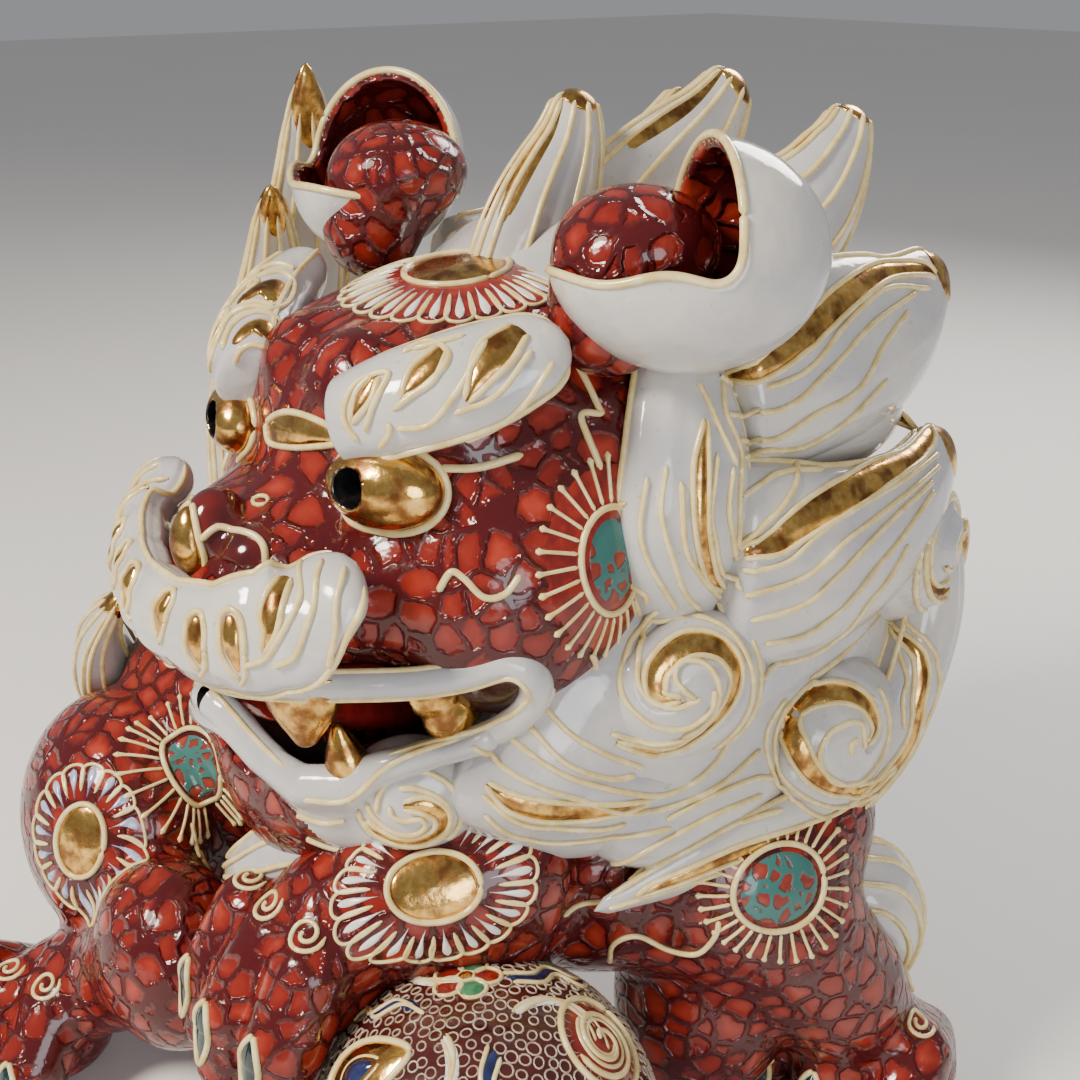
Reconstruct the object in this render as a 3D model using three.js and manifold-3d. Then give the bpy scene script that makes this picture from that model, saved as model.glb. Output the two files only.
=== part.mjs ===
// A porcelain guardian lion (foo dog): cast and pressed pieces luted together before firing.
// Millimetres, +Z up, origin under the middle of its bounding box, at the height of the soles.
// The trunk lies along X with the chest at +X, and the head is turned to look along -Y.
import * as THREE from "three";
import { mergeVertices } from "three/addons/utils/BufferGeometryUtils.js";
import Module from "manifold-3d";

const wasm = await Module();
wasm.setup();

// Driving dimensions
const HEAD_AT = new THREE.Vector3(16, 5, 145); // the head's own origin, between its cheeks
const GAP = 0.3; // the slip joint between two luted pieces
const WALL = 4.5; // cast wall of the hollow pieces
const PUPIL_R = 3.6; // the pupils are real holes into the head
const BELLY_VENT_R = 7; // lets the kiln's heat out of the trunk
const BALL_VENT_R = 3.5;
const BALL_R = 35;
const BALL_AT = [70, -28, BALL_R - 1]; // 1 mm low, so the ball is ground flat where it stands

// Glazes
const RED = { color: 0x8e1c12, roughness: 0.16, metalness: 0 };
const WHITE = { color: 0xe9e4da, roughness: 0.12, metalness: 0 };
const GOLD = { color: 0xb8862f, roughness: 0.22, metalness: 1 };
const BALL_ENAMEL = { color: 0x3c3a44, roughness: 0.14, metalness: 0 };

// ------------------------------------------------------------------------------- solids
// A shape here is a function of grow: the distance by which its surface is moved outwards.
const vec = (p) => new THREE.Vector3(...p);

function solid(geometry) {
  const bare = geometry.clone();
  bare.deleteAttribute("normal");
  bare.deleteAttribute("uv");
  const merged = mergeVertices(bare, 1e-4);
  const mesh = new wasm.Mesh({
    numProp: 3,
    vertProperties: new Float32Array(merged.attributes.position.array),
    triVerts: new Uint32Array(merged.index.array),
  });
  return new wasm.Manifold(mesh);
}

const shift = (shape, [x, y, z]) => (grow) => shape(grow).translate([x, y, z]);
const cluster = (...shapes) => (grow) => shapes.map((s) => s(grow)).reduce((a, b) => a.add(b));

// A ball squeezed to three radii and turned by Euler angles in degrees.
function egg(at, radii, turn = [0, 0, 0], around = 10, up = 6) {
  return (grow) => {
    const ball = new THREE.SphereGeometry(1, around, up);
    ball.rotateX(Math.PI / 2);
    ball.scale(...radii.map((r) => r + grow));
    const euler = new THREE.Euler(...turn.map(THREE.MathUtils.degToRad));
    ball.applyMatrix4(new THREE.Matrix4().makeRotationFromEuler(euler));
    ball.translate(...at);
    return solid(ball);
  };
}

// The value of an evenly spaced list at t, from 0 to 1.
function valueAt(list, t) {
  const at = t * (list.length - 1);
  const i = Math.min(Math.floor(at), list.length - 2);
  return THREE.MathUtils.lerp(list[i], list[i + 1], at - i);
}

// A lock of hair, a toe or a limb: a ball drawn out along a smooth curve. Its half widths lie across
// the face direction and its half depths along it.
function lock(points, widths, depths, face, around = 8, rings = 6) {
  const curve = new THREE.CatmullRomCurve3(points.map(vec));
  return (grow) => {
    const ball = new THREE.SphereGeometry(1, around, rings);
    const place = ball.attributes.position;
    for (let i = 0; i < place.count; i++) {
      const p = new THREE.Vector3().fromBufferAttribute(place, i);
      const t = Math.acos(THREE.MathUtils.clamp(p.y, -1, 1)) / Math.PI;
      const ring = Math.hypot(p.x, p.z) || 1;
      const along = curve.getTangent(t);
      const side = vec(face).cross(along).normalize();
      const out = along.clone().cross(side);
      const at = curve.getPoint(t).addScaledVector(along, grow * (2 * t - 1));
      at.addScaledVector(side, (p.x / ring) * (valueAt(widths, t) + grow));
      at.addScaledVector(out, (p.z / ring) * (valueAt(depths, t) + grow));
      place.setXYZ(i, ...at);
    }
    return solid(ball);
  };
}

// A round bar between two points.
function bar(from, to, radius) {
  const along = vec(to).sub(vec(from));
  const rod = new THREE.CylinderGeometry(radius, radius, along.length(), 16);
  const up = new THREE.Vector3(0, 1, 0);
  rod.translate(0, along.length() / 2, 0);
  rod.applyQuaternion(new THREE.Quaternion().setFromUnitVectors(up, along.normalize()));
  rod.translate(...from);
  return () => solid(rod);
}

// ------------------------------------------------------------------------------- the list of pieces
// They are listed in the order they are set in place, and each is cut back from those before it.
// cuts are hollowed out of the piece. Later pieces may reach into its open spaces.
const pieces = [];
function piece(name, look, shape, { cuts = [], open = [], at = [0, 0, 0] } = {}) {
  const place = (s) => shift(s, at);
  pieces.push({ name, look, at, shape: place(shape), cuts: cuts.map(place), open: open.map(place) });
}
const onHead = (name, look, shape, more = {}) => piece(name, look, shape, { ...more, at: HEAD_AT.toArray() });

const SIDES = [["left", 1], ["right", -1]];
const mirrored = (side) => ([x, y, z]) => [x * side, y, z];

// ------------------------------------------------------------------------------- head
const MOUTH = egg([0, -24, -31], [46, 46, 10], [7, 0, 0], 14, 6);
const pupil = (side) => bar([25.5 * side, -10, 18.5], [21.5 * side, -60, 15], PUPIL_R);

function headShell() {
  const skull = cluster(
    egg([0, 8, 12], [50, 46, 38], [0, 0, 0], 14, 9),
    egg([0, -30, -5], [33, 32, 20], [0, 0, 0], 12, 7),
    egg([32, -8, -6], [22, 28, 27]),
    egg([-32, -8, -6], [22, 28, 27]),
    egg([0, -18, 26], [36, 18, 15]),
  );
  const inside = cluster(egg([0, 8, 10], [44, 40, 32]), egg([0, -26, -8], [27, 26, 14]));
  onHead("head_shell", RED, skull, { cuts: [inside, MOUTH, pupil(1), pupil(-1)], open: [MOUTH] });
}

function lowerJaw() {
  const bowl = cluster(egg([0, -17, -46], [37, 36, 22], [0, 0, 0], 12, 7), egg([0, -38, -56], [17, 14, 13]));
  const inside = egg([0, -20, -38], [30, 31, 20]);
  const overTheLip = () => solid(new THREE.BoxGeometry(140, 140, 40).translate(0, -20, -12));
  onHead("lower_jaw", WHITE, bowl, { cuts: [inside, overTheLip], open: [inside, overTheLip] });
}

function muzzle() {
  const nostrils = [11, -11].map((x) => egg([x, -50, 4], [9, 8, 8]));
  onHead("nose", RED, cluster(egg([0, -53, 5], [8, 8, 10]), ...nostrils));
  const half = [[35, -45, 9], [31, -55, -1], [17, -62, -7]];
  const band = [...half.map(mirrored(-1)), [0, -65, -8], ...half.reverse()];
  onHead("moustache", WHITE, lock(band, [7, 11, 10, 9, 10, 11, 7], [4, 5, 6, 6, 6, 5, 4], [0, -1, 0], 8, 12));
}

function eyesAndBrows() {
  for (const [name, s] of SIDES) {
    const eyeball = egg([30 * s, -35, 17], [12, 7, 7.5], [0, 0, 32 * s], 12, 7);
    onHead(`eye_${name}`, GOLD, eyeball, { cuts: [pupil(s)] });
    const arch = [[17, -36, 26], [26, -31, 33], [38, -17, 39], [47, -2, 41]].map(mirrored(s));
    onHead(`brow_${name}`, WHITE, lock(arch, [7, 11, 10, 4], [6, 8, 6, 3], [0.4 * s, -0.7, 0.6]));
  }
}

// Each ear is a deep cup that opens forwards and towards the other, with a swelling inside it.
function ears() {
  for (const [name, s] of SIDES) {
    const turn = [10, 0, -48 * s];
    const cup = egg([52 * s, 18, 60], [21, 20, 25], turn, 12, 8);
    const bowl = egg([44 * s, 10, 64], [18, 18, 22], turn, 12, 7);
    onHead(`ear_${name}`, WHITE, cup, { cuts: [bowl], open: [bowl] });
    onHead(`ear_lobe_${name}`, RED, egg([46 * s, 11, 55], [13, 10, 13], turn));
  }
}

function flame(name, points, wide, deep, face) {
  const shape = lock(points, [wide * 0.75, wide, wide * 0.8, 1.5], [deep, deep, deep * 0.7, 1.5], face);
  onHead(name, WHITE, shape);
}

function mane() {
  const nape = egg([0, 24, -30], [50, 34, 34], [0, 0, 0], 12, 7);
  const cap = cluster(egg([0, 34, 4], [56, 42, 56], [0, 0, 0], 14, 9), nape);
  const inside = cluster(egg([0, 30, 4], [50, 40, 50], [0, 0, 0], 12, 7), egg([0, 20, -30], [44, 32, 28]));
  onHead("mane_cap", WHITE, cap, { cuts: [inside] });
  flame("crest_flame_front", [[0, 14, 40], [0, 16, 58], [0, 23, 72], [0, 32, 81]], 15, 7, [1, 0, 0]);
  flame("crest_flame_back", [[0, 36, 46], [0, 48, 63], [0, 62, 75], [0, 74, 83]], 18, 7, [1, 0, 0]);
  for (const [name, s] of SIDES) {
    const m = mirrored(s);
    const top = [[20, 50, 46], [23, 64, 58], [25, 76, 68], [25, 86, 75]];
    const upper = [[46, 30, 30], [50, 52, 34], [50, 74, 38], [47, 92, 46]];
    const middle = [[54, 22, -4], [60, 46, -6], [61, 70, -2], [56, 88, 10]];
    const temple = [[52, 20, 30], [57, 22, 16], [58, 24, 0], [56, 22, -14]];
    flame(`mane_flame_top_${name}`, top.map(m), 14, 7, m([1, 0, 0.4]));
    flame(`mane_flame_upper_${name}`, upper.map(m), 17, 8, m([1, 0.2, 0.2]));
    flame(`mane_flame_middle_${name}`, middle.map(m), 19, 8, m([1, 0.2, 0]));
    flame(`temple_lock_${name}`, temple.map(m), 13, 6, m([1, -0.3, 0]));
  }
}

// The rolled curls behind and below the cheeks.
function curls() {
  for (const [name, s] of SIDES) {
    const m = mirrored(s);
    onHead(`back_curl_${name}`, WHITE, egg([53 * s, 79, -12], [13, 17, 18], [0, 0, 18 * s]));
    onHead(`cheek_curl_${name}`, WHITE, egg([57 * s, 17, -28], [9, 17, 17], [0, 0, -10 * s]));
    const tuft = [[60, 72, -44], [63, 48, -64], [62, 20, -68], [55, -6, -74]].map(m);
    const tuftLock = lock(tuft, [7, 10, 8, 1.5], [6, 6, 4, 1.5], m([1, 0, -0.4]));
    onHead(`jaw_tuft_${name}`, WHITE, cluster(egg([62 * s, 53, -47], [11, 18, 18], [0, 0, 8 * s]), tuftLock));
    const leaf = [[38, -24, -46], [50, -8, -48], [57, 8, -50], [61, 26, -50]].map(m);
    const leafLock = lock(leaf, [10, 14, 11, 1.5], [7, 7, 5, 1.5], m([1, -0.4, -0.3]));
    const beardCurl = egg([31 * s, -30, -52], [11, 14, 13], [0, 0, -36 * s]);
    onHead(`beard_tuft_${name}`, WHITE, cluster(beardCurl, leafLock));
  }
}

function insideTheMouth() {
  const spine = [[0, 2, -50], [0, -22, -44], [0, -40, -37], [0, -50, -38]];
  onHead("tongue", RED, lock(spine, [10, 15, 13, 8], [4, 5, 4, 2], [0, 0, 1]));
  for (const [name, s] of SIDES) {
    const upper = [[20, -47, -16], [20.5, -48, -24], [21, -49, -33]].map(mirrored(s));
    const lower = [[24, -40, -46], [24, -42, -39], [23.5, -44, -31]].map(mirrored(s));
    onHead(`upper_fang_${name}`, GOLD, lock(upper, [7, 6, 0.8], [5, 4, 0.8], [0, -1, 0]));
    onHead(`lower_fang_${name}`, GOLD, lock(lower, [3.5, 3.5, 0.6], [3.5, 3.5, 0.6], [0, -1, 0]));
    onHead(`cheek_tooth_${name}`, GOLD, egg([37 * s, -28, -27], [4.5, 6.5, 5.5]));
  }
}

// ------------------------------------------------------------------------------- body
function ball() {
  const inner = BALL_R - WALL;
  const vent = bar([BALL_AT[0], BALL_AT[1], -5], BALL_AT, BALL_VENT_R);
  const shape = egg(BALL_AT, [BALL_R, BALL_R, BALL_R], [0, 0, 0], 16, 12);
  piece("ball", BALL_ENAMEL, shape, { cuts: [egg(BALL_AT, [inner, inner, inner]), vent] });
}

function trunkShell() {
  const masses = [
    [[41, 24, 71], [34, 43, 31], [0, 0, -37]],
    [[0, 4, 72], [52, 38, 32], [0, 0, 8]],
    [[-52, -6, 70], [42, 38, 37], [0, 0, 6]],
  ];
  const outer = cluster(...masses.map(([at, radii, turn]) => egg(at, radii, turn, 14, 8)));
  const inside = cluster(...masses.map(([at, radii, turn]) => egg(at, radii.map((r) => r - WALL), turn)));
  piece("trunk_shell", RED, outer, { cuts: [inside, bar([0, 4, 20], [0, 4, 76], BELLY_VENT_R)] });
}

// A pad with three toes that point along heading, in degrees from +X. A held paw droops over its edge.
function paw(name, at, heading, size = 1, droop = 0) {
  const [c, s] = [Math.cos, Math.sin].map((f) => f(THREE.MathUtils.degToRad(heading)) * size);
  const from = ([a, b, up]) => [at[0] + a * c - b * s, at[1] + a * s + b * c, at[2] + up];
  const toes = [-1, 0, 1].map((k) => {
    const reach = 15 - 3 * Math.abs(k);
    const line = [
      [-8, 8.5 * k, 4],
      [reach * 0.4, 13 * k, 10 - droop * 0.2],
      [reach, 14.5 * k, 2 - droop * 0.6],
      [reach + 7, 14.5 * k, -9 - droop],
    ];
    return lock(line.map(from), [8, 9.5, 9, 4], [8, 10, 9, 4], [0, 0, 1], 8, 5);
  });
  piece(name, RED, cluster(egg(at, [17 * size, 19 * size, 13], [0, 0, heading], 12, 6), ...toes));
}

function legs() {
  paw("paw_front_left", [83, 74, 10], -82, 1.1);
  paw("paw_front_right", [32, -46, 60], -92, 0.95, 10);
  paw("paw_hind_right", [-48, -76.8, 10], -75);
  paw("paw_hind_left", [-50, 60, 10], 20);

  const foreLeft = [[66, 36, 72], [76, 46, 56], [82, 60, 36], [83, 72, 14]];
  const foreRight = [[52, -10, 82], [42, -28, 76], [36, -38, 70], [32, -46, 60]];
  const foreLeftArm = lock(foreLeft, [20, 20, 17, 15], [18, 18, 16, 14], [1, 0, 0]);
  const foreRightArm = lock(foreRight, [16, 19, 17, 12], [14, 17, 15, 11], [0, 0, 1]);
  piece("front_leg_left", RED, cluster(egg([63, 36, 66], [24, 24, 23]), foreLeftArm));
  piece("front_leg_right", RED, cluster(egg([42, -12, 70], [23, 22, 24]), foreRightArm));

  for (const [name, s] of SIDES) {
    const out = (distance) => distance * s - 10;
    const shin = [[-20, out(47), 36], [-32, out(53), 26], [-44, out(61), 20], [-50, out(67), 12]];
    const thigh = egg([-54, out(36), 52], [32, 26, 33], [0, 0, 10 * s], 12, 7);
    const knee = egg([-11, out(46), 42], [21, 17, 22]);
    const shinLock = lock(shin, [14, 14, 13, 11], [13, 13, 12, 10], [0, 0, 1]);
    piece(`hind_leg_${name}`, RED, cluster(thigh, knee, shinLock));
  }
}

function tuft(name, points, wide, face) {
  piece(name, WHITE, lock(points, [wide * 0.7, wide, wide * 0.7, 1.2], [6, 7, 5, 1.2], face));
}

function tufts() {
  tuft("elbow_tuft_left", [[72, 56, 68], [82, 68, 60], [87, 73, 48], [85, 74, 34]], 11, [1, 0.3, 0]);
  tuft("elbow_tuft_right", [[34, -28, 84], [22, -38, 80], [10, -44, 72], [0, -46, 66]], 9, [-0.4, -0.9, 0.3]);
  for (const [name, s] of SIDES) {
    const line = [[-76, 28 * s, 60], [-82, 36 * s, 76], [-77, 40 * s, 92], [-66, 38 * s, 106]];
    tuft(`thigh_tuft_${name}`, line, 13, [-0.6, 0.8 * s, 0.2]);
  }
  for (let i = 1; i <= 3; i++) {
    const x = 6 - 20 * i;
    const line = [[x + 12, 0, 98], [x, -1, 108], [x - 10, -2, 116], [x - 20, -3, 126]];
    tuft(`spine_lock_${i}`, line, 11, [0, 1, 0]);
  }
}

function tail() {
  const plume = (name, points, wide) => {
    const shape = lock(points, [wide * 0.6, wide, wide * 0.9, 1.5], [10, 9, 6, 1.5], [-1, 0, 0.1], 8, 8);
    piece(name, WHITE, shape);
  };
  plume("tail_plume_middle", [[-78, 2, 88], [-98, 20, 124], [-100, 37, 172], [-88, 34, 225]], 16);
  plume("tail_plume_right", [[-84, 4, 104], [-98, 16, 134], [-100, 26, 164], [-88, 22, 196]], 11);
  plume("tail_plume_left", [[-84, 18, 106], [-98, 42, 132], [-100, 56, 160], [-89, 54, 192]], 12);
}

headShell();
lowerJaw();
muzzle();
eyesAndBrows();
ears();
mane();
curls();
insideTheMouth();
ball();
trunkShell();
legs();
tail();
tufts();

// ------------------------------------------------------------------------------- fitting them together
const ground = solid(new THREE.BoxGeometry(600, 600, 60).translate(0, 0, -30));
const boxesMeet = (a, b) => a.min.every((low, k) => low < b.max[k] && b.min[k] < a.max[k]);

// A cut can leave a loose sliver beside the piece itself.
function largestBody(made) {
  return made.decompose().sort((a, b) => b.volume() - a.volume())[0];
}

function geometryOf(made) {
  const { numProp, vertProperties, triVerts } = made.getMesh();
  const places = new Float32Array((vertProperties.length / numProp) * 3);
  for (let i = 0; i < places.length / 3; i++) {
    places.set(vertProperties.subarray(i * numProp, i * numProp + 3), i * 3);
  }
  const geometry = new THREE.BufferGeometry();
  geometry.setAttribute("position", new THREE.BufferAttribute(places, 3));
  geometry.setIndex(new THREE.BufferAttribute(triVerts, 1));
  geometry.computeVertexNormals();
  return geometry;
}

const group = new THREE.Group();
const placed = [];
for (const { name, look, at, shape, cuts, open } of pieces) {
  let made = shape(0).subtract(ground);
  for (const cut of cuts) made = made.subtract(cut(0));
  for (const other of placed) {
    if (boxesMeet(made.boundingBox(), other.boundingBox())) made = made.subtract(other);
  }
  placed.push(open.reduce((taken, space) => taken.subtract(space(-GAP)), shape(GAP)));
  const ownFrame = largestBody(made).translate(at.map((offset) => -offset));
  const mesh = new THREE.Mesh(geometryOf(ownFrame), new THREE.MeshStandardMaterial(look));
  mesh.name = name;
  mesh.position.set(...at);
  group.add(mesh);
}

export default group;
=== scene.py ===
"""A Kutani-style porcelain guardian lion: glazed white locks, raised enamel and gilding over the CAD pieces.

Shapes are in millimetres in the CAD model's frame and become metres when their mesh is made. The head's
pieces are given in the head's own frame, whose origin is HEAD and whose face looks along -Y.
"""
import math

import bpy
import numpy as np
from mathutils import Matrix, Vector
from mathutils.bvhtree import BVHTree


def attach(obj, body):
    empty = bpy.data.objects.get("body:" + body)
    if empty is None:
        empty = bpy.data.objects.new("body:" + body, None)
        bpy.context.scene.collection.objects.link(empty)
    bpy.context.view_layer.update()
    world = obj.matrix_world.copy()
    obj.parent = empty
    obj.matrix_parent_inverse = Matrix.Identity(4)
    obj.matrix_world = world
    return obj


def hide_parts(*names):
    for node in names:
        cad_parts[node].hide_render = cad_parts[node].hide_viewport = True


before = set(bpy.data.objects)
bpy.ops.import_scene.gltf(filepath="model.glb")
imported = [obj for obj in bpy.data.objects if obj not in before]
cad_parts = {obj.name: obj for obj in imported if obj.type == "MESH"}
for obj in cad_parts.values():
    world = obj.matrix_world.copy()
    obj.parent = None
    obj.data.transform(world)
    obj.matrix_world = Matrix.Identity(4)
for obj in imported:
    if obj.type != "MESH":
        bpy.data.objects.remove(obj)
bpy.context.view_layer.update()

MM = 0.001
HEAD = np.array([16.0, 5.0, 145.0])  # the head's own origin in the CAD model
BALL_R = 35.0
BALL_AT = np.array([70.0, -28.0, BALL_R - 1.0])
PUPIL_R = 3.6
LINE_R = 0.68  # radius of a piped enamel line
CELL = 5.9  # width of a red enamel cell
SIDES = (("left", 1), ("right", -1))


def mirrored(points, side):
    return [(x * side, y, z) for x, y, z in points]


# ------------------------------------------------------------------------------- solid shapes
# A shape is a function from points, one a row, to their distance from its surface.
def unit(v):
    v = np.asarray(v, float)
    return v / np.maximum(np.linalg.norm(v, axis=-1, keepdims=True), 1e-9)


def rotation(turn):
    a, b, c = (math.radians(t) for t in turn)
    return np.array(Matrix.Rotation(a, 3, "X") @ Matrix.Rotation(b, 3, "Y") @ Matrix.Rotation(c, 3, "Z"))


def egg(at, radii, turn=(0, 0, 0)):
    at, radii, axes = np.array(at, float), np.array(radii, float), rotation(turn)

    def distance(p):
        q = (p - at) @ axes
        near = np.linalg.norm(q / radii, axis=1)
        slope = np.linalg.norm(q / radii**2, axis=1)
        return near * (near - 1) / np.maximum(slope, 1e-9)

    return distance


def limb(points, radii):
    """A chain of tapering rods through the points."""
    points = [np.array(p, float) for p in points]

    def distance(p):
        best = np.full(len(p), 1e9)
        for a, b, ra, rb in zip(points, points[1:], radii, radii[1:]):
            along = b - a
            t = np.clip((p - a) @ along / (along @ along), 0, 1)
            best = np.minimum(best, np.linalg.norm(p - a - t[:, None] * along, axis=1) - (ra + (rb - ra) * t))
        return best

    return distance


def soft_min(a, b, k):
    h = np.clip(0.5 + 0.5 * (b - a) / k, 0, 1)
    return b + (a - b) * h - k * h * (1 - h)


def melt(k, *shapes):
    """The shapes run together, with a fillet about k wide."""

    def distance(p):
        total = shapes[0](p)
        for shape in shapes[1:]:
            total = soft_min(total, shape(p), k)
        return total

    return distance


def cut(shape, tool, k):
    return lambda p: -soft_min(-shape(p), tool(p), k)


def grown(shape, by):
    return lambda p: shape(p) - by


def moved(shape, offset):
    return lambda p: shape(p - offset)


def above_ground(shape):
    return lambda p: np.maximum(shape(p), -p[:, 2])


def slope(shape, p, step=0.05):
    """Outward direction at the points, and their distance from the shape."""
    here = shape(p)
    away = np.stack([shape(p + step * axis) - here for axis in np.eye(3)], 1) / step
    return away, here


def press(shape, points, lift=0.0, rounds=6):
    """Moves the points onto the shape's surface, then lift above it."""
    p = np.array(points, float)
    for _ in range(rounds):
        away, here = slope(shape, p)
        p = p - away * (here / np.maximum((away**2).sum(1), 1e-4))[:, None]
    away, _ = slope(shape, p)
    return p + unit(away) * np.reshape(lift, (-1, 1)), unit(away)


# ------------------------------------------------------------------------------- meshes
def net(shape, low, high, step):
    """Quads around the shape inside a box, one vertex in each grid cell that its surface crosses."""
    axes = [np.arange(a, b + step, step) for a, b in zip(low, high)]
    grid = np.stack(np.meshgrid(*axes, indexing="ij"), -1)
    value = shape(grid.reshape(-1, 3)).reshape(grid.shape[:3])
    cells = tuple(n - 1 for n in value.shape)
    total, count = np.zeros(cells + (3,)), np.zeros(cells)

    def corner(offset):
        return value[tuple(slice(o, o + n) for o, n in zip(offset, cells))]

    for axis in range(3):
        for rest in range(4):
            a = [0, 0, 0]
            a[(axis + 1) % 3], a[(axis + 2) % 3] = rest % 2, rest // 2
            b = list(a)
            b[axis] = 1
            va, vb = corner(a), corner(b)
            crossed = (va < 0) != (vb < 0)
            t = np.where(crossed, va / np.where(crossed, va - vb, 1), 0)
            place = np.array(a, float) + t[..., None] * np.eye(3)[axis]
            total += crossed[..., None] * place
            count += crossed
    used = count > 0
    index = np.full(cells, -1)
    index[used] = np.arange(used.sum())
    where = np.argwhere(used)
    verts = (where + total[used] / count[used][:, None]) * step + np.array(low, float)

    quads = []
    for axis in range(3):
        u, v = (axis + 1) % 3, (axis + 2) % 3
        inner = [slice(1, -1)] * 3
        inner[axis] = slice(0, -1)
        after = [slice(1, -1)] * 3
        after[axis] = slice(1, None)
        va, vb = value[tuple(inner)], value[tuple(after)]
        at = np.argwhere((va < 0) != (vb < 0))
        outward = (va < 0)[tuple(at.T)]
        at[:, u] += 1
        at[:, v] += 1
        ring = []
        for du, dv in ((-1, -1), (0, -1), (0, 0), (-1, 0)):
            c = at.copy()
            c[:, u] += du
            c[:, v] += dv
            ring.append(index[tuple(c.T)])
        quad = np.stack(ring, 1)
        quad[~outward] = quad[~outward][:, ::-1]
        quads.append(quad)
    return verts, np.concatenate(quads)


def finer(verts, quads):
    """Every quad split in four."""
    edges = np.sort(np.stack([quads, np.roll(quads, -1, 1)], -1).reshape(-1, 2), 1)
    pairs, which = np.unique(edges, axis=0, return_inverse=True)
    which = which.reshape(-1, 4) + len(verts)
    middle = np.arange(len(quads)) + len(verts) + len(pairs)
    split = [np.stack([quads[:, i], which[:, i], middle, which[:, i - 1]], 1) for i in range(4)]
    return np.concatenate([verts, verts[pairs].mean(1), verts[quads].mean(1)]), np.concatenate(split)


def skin(shape, low, high, step):
    """A smooth mesh of the shape with quads half a step wide."""
    verts, quads = finer(*net(shape, low, high, step))
    return press(shape, verts, rounds=3)[0], quads


def gridded(places, around=False):
    """Quads over a grid of places, whose second direction may close on itself."""
    n, m = places.shape[:2]
    i, j = np.meshgrid(np.arange(n - 1), np.arange(m if around else m - 1), indexing="ij")
    i, j = i.ravel(), j.ravel()
    k = (j + 1) % m
    return places.reshape(-1, 3), np.stack([i * m + j, i * m + k, (i + 1) * m + k, (i + 1) * m + j], 1)


def joined(parts):
    verts, faces, start = [], [], 0
    for v, f in parts:
        verts.append(v)
        faces.append(f + start)
        start += len(v)
    return np.concatenate(verts), np.concatenate(faces)


def spline(points, n):
    """n points along a Catmull-Rom curve through the points."""
    p = np.asarray(points, float)
    p = p.reshape(len(p), -1)
    p = np.concatenate([[2 * p[0] - p[1]], p, [2 * p[-1] - p[-2]]])
    t = np.linspace(0, len(p) - 3, n)
    i = np.minimum(t.astype(int), len(p) - 4)
    f = (t - i)[:, None]
    a, b, c, d = p[i], p[i + 1], p[i + 2], p[i + 3]
    return 0.5 * (2 * b + (c - a) * f + (2 * a - 5 * b + 4 * c - d) * f**2 + (3 * b - a - 3 * c + d) * f**3)


def tube(points, radius, up, sides=7):
    """A rod along the points, with round ends. up is across it, towards its outer side."""
    points = np.asarray(points, float)
    along = unit(np.gradient(points, axis=0))
    side = unit(np.cross(along, up))
    out = np.cross(side, along)
    radius = np.broadcast_to(radius, len(points)).astype(float).copy()
    radius[[0, -1]] *= 0.35
    turn = np.linspace(0, 2 * math.pi, sides, endpoint=False)
    ring = np.cos(turn)[None, :, None] * side[:, None] + np.sin(turn)[None, :, None] * out[:, None]
    verts, faces = gridded(points[:, None] + radius[:, None, None] * ring, around=True)
    return verts, faces[:, ::-1]


MADE = {}


def add(name, mesh_data, materials, slot, stands_for=(), which=None, normals=None):
    """Makes a mesh piece that rides on the body, in the given materials. slot is not used.

    which gives each face its material, and normals gives each vertex its normal.
    """
    verts, faces = mesh_data
    mesh = bpy.data.meshes.new(name)
    mesh.from_pydata((np.asarray(verts) * MM).tolist(), [], faces.tolist())
    mesh.shade_smooth()
    if normals is not None:
        mesh.normals_split_custom_set_from_vertices(normals.tolist())
    for material in materials if isinstance(materials, (list, tuple)) else [materials]:
        mesh.materials.append(material)
    if which is not None:
        mesh.polygons.foreach_set("material_index", np.asarray(which, np.int32))
    piece = bpy.data.objects.new(name, mesh)
    bpy.context.scene.collection.objects.link(piece)
    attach(piece, "root")
    if stands_for:
        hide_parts(*stands_for)
    MADE[name] = piece
    return piece


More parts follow.
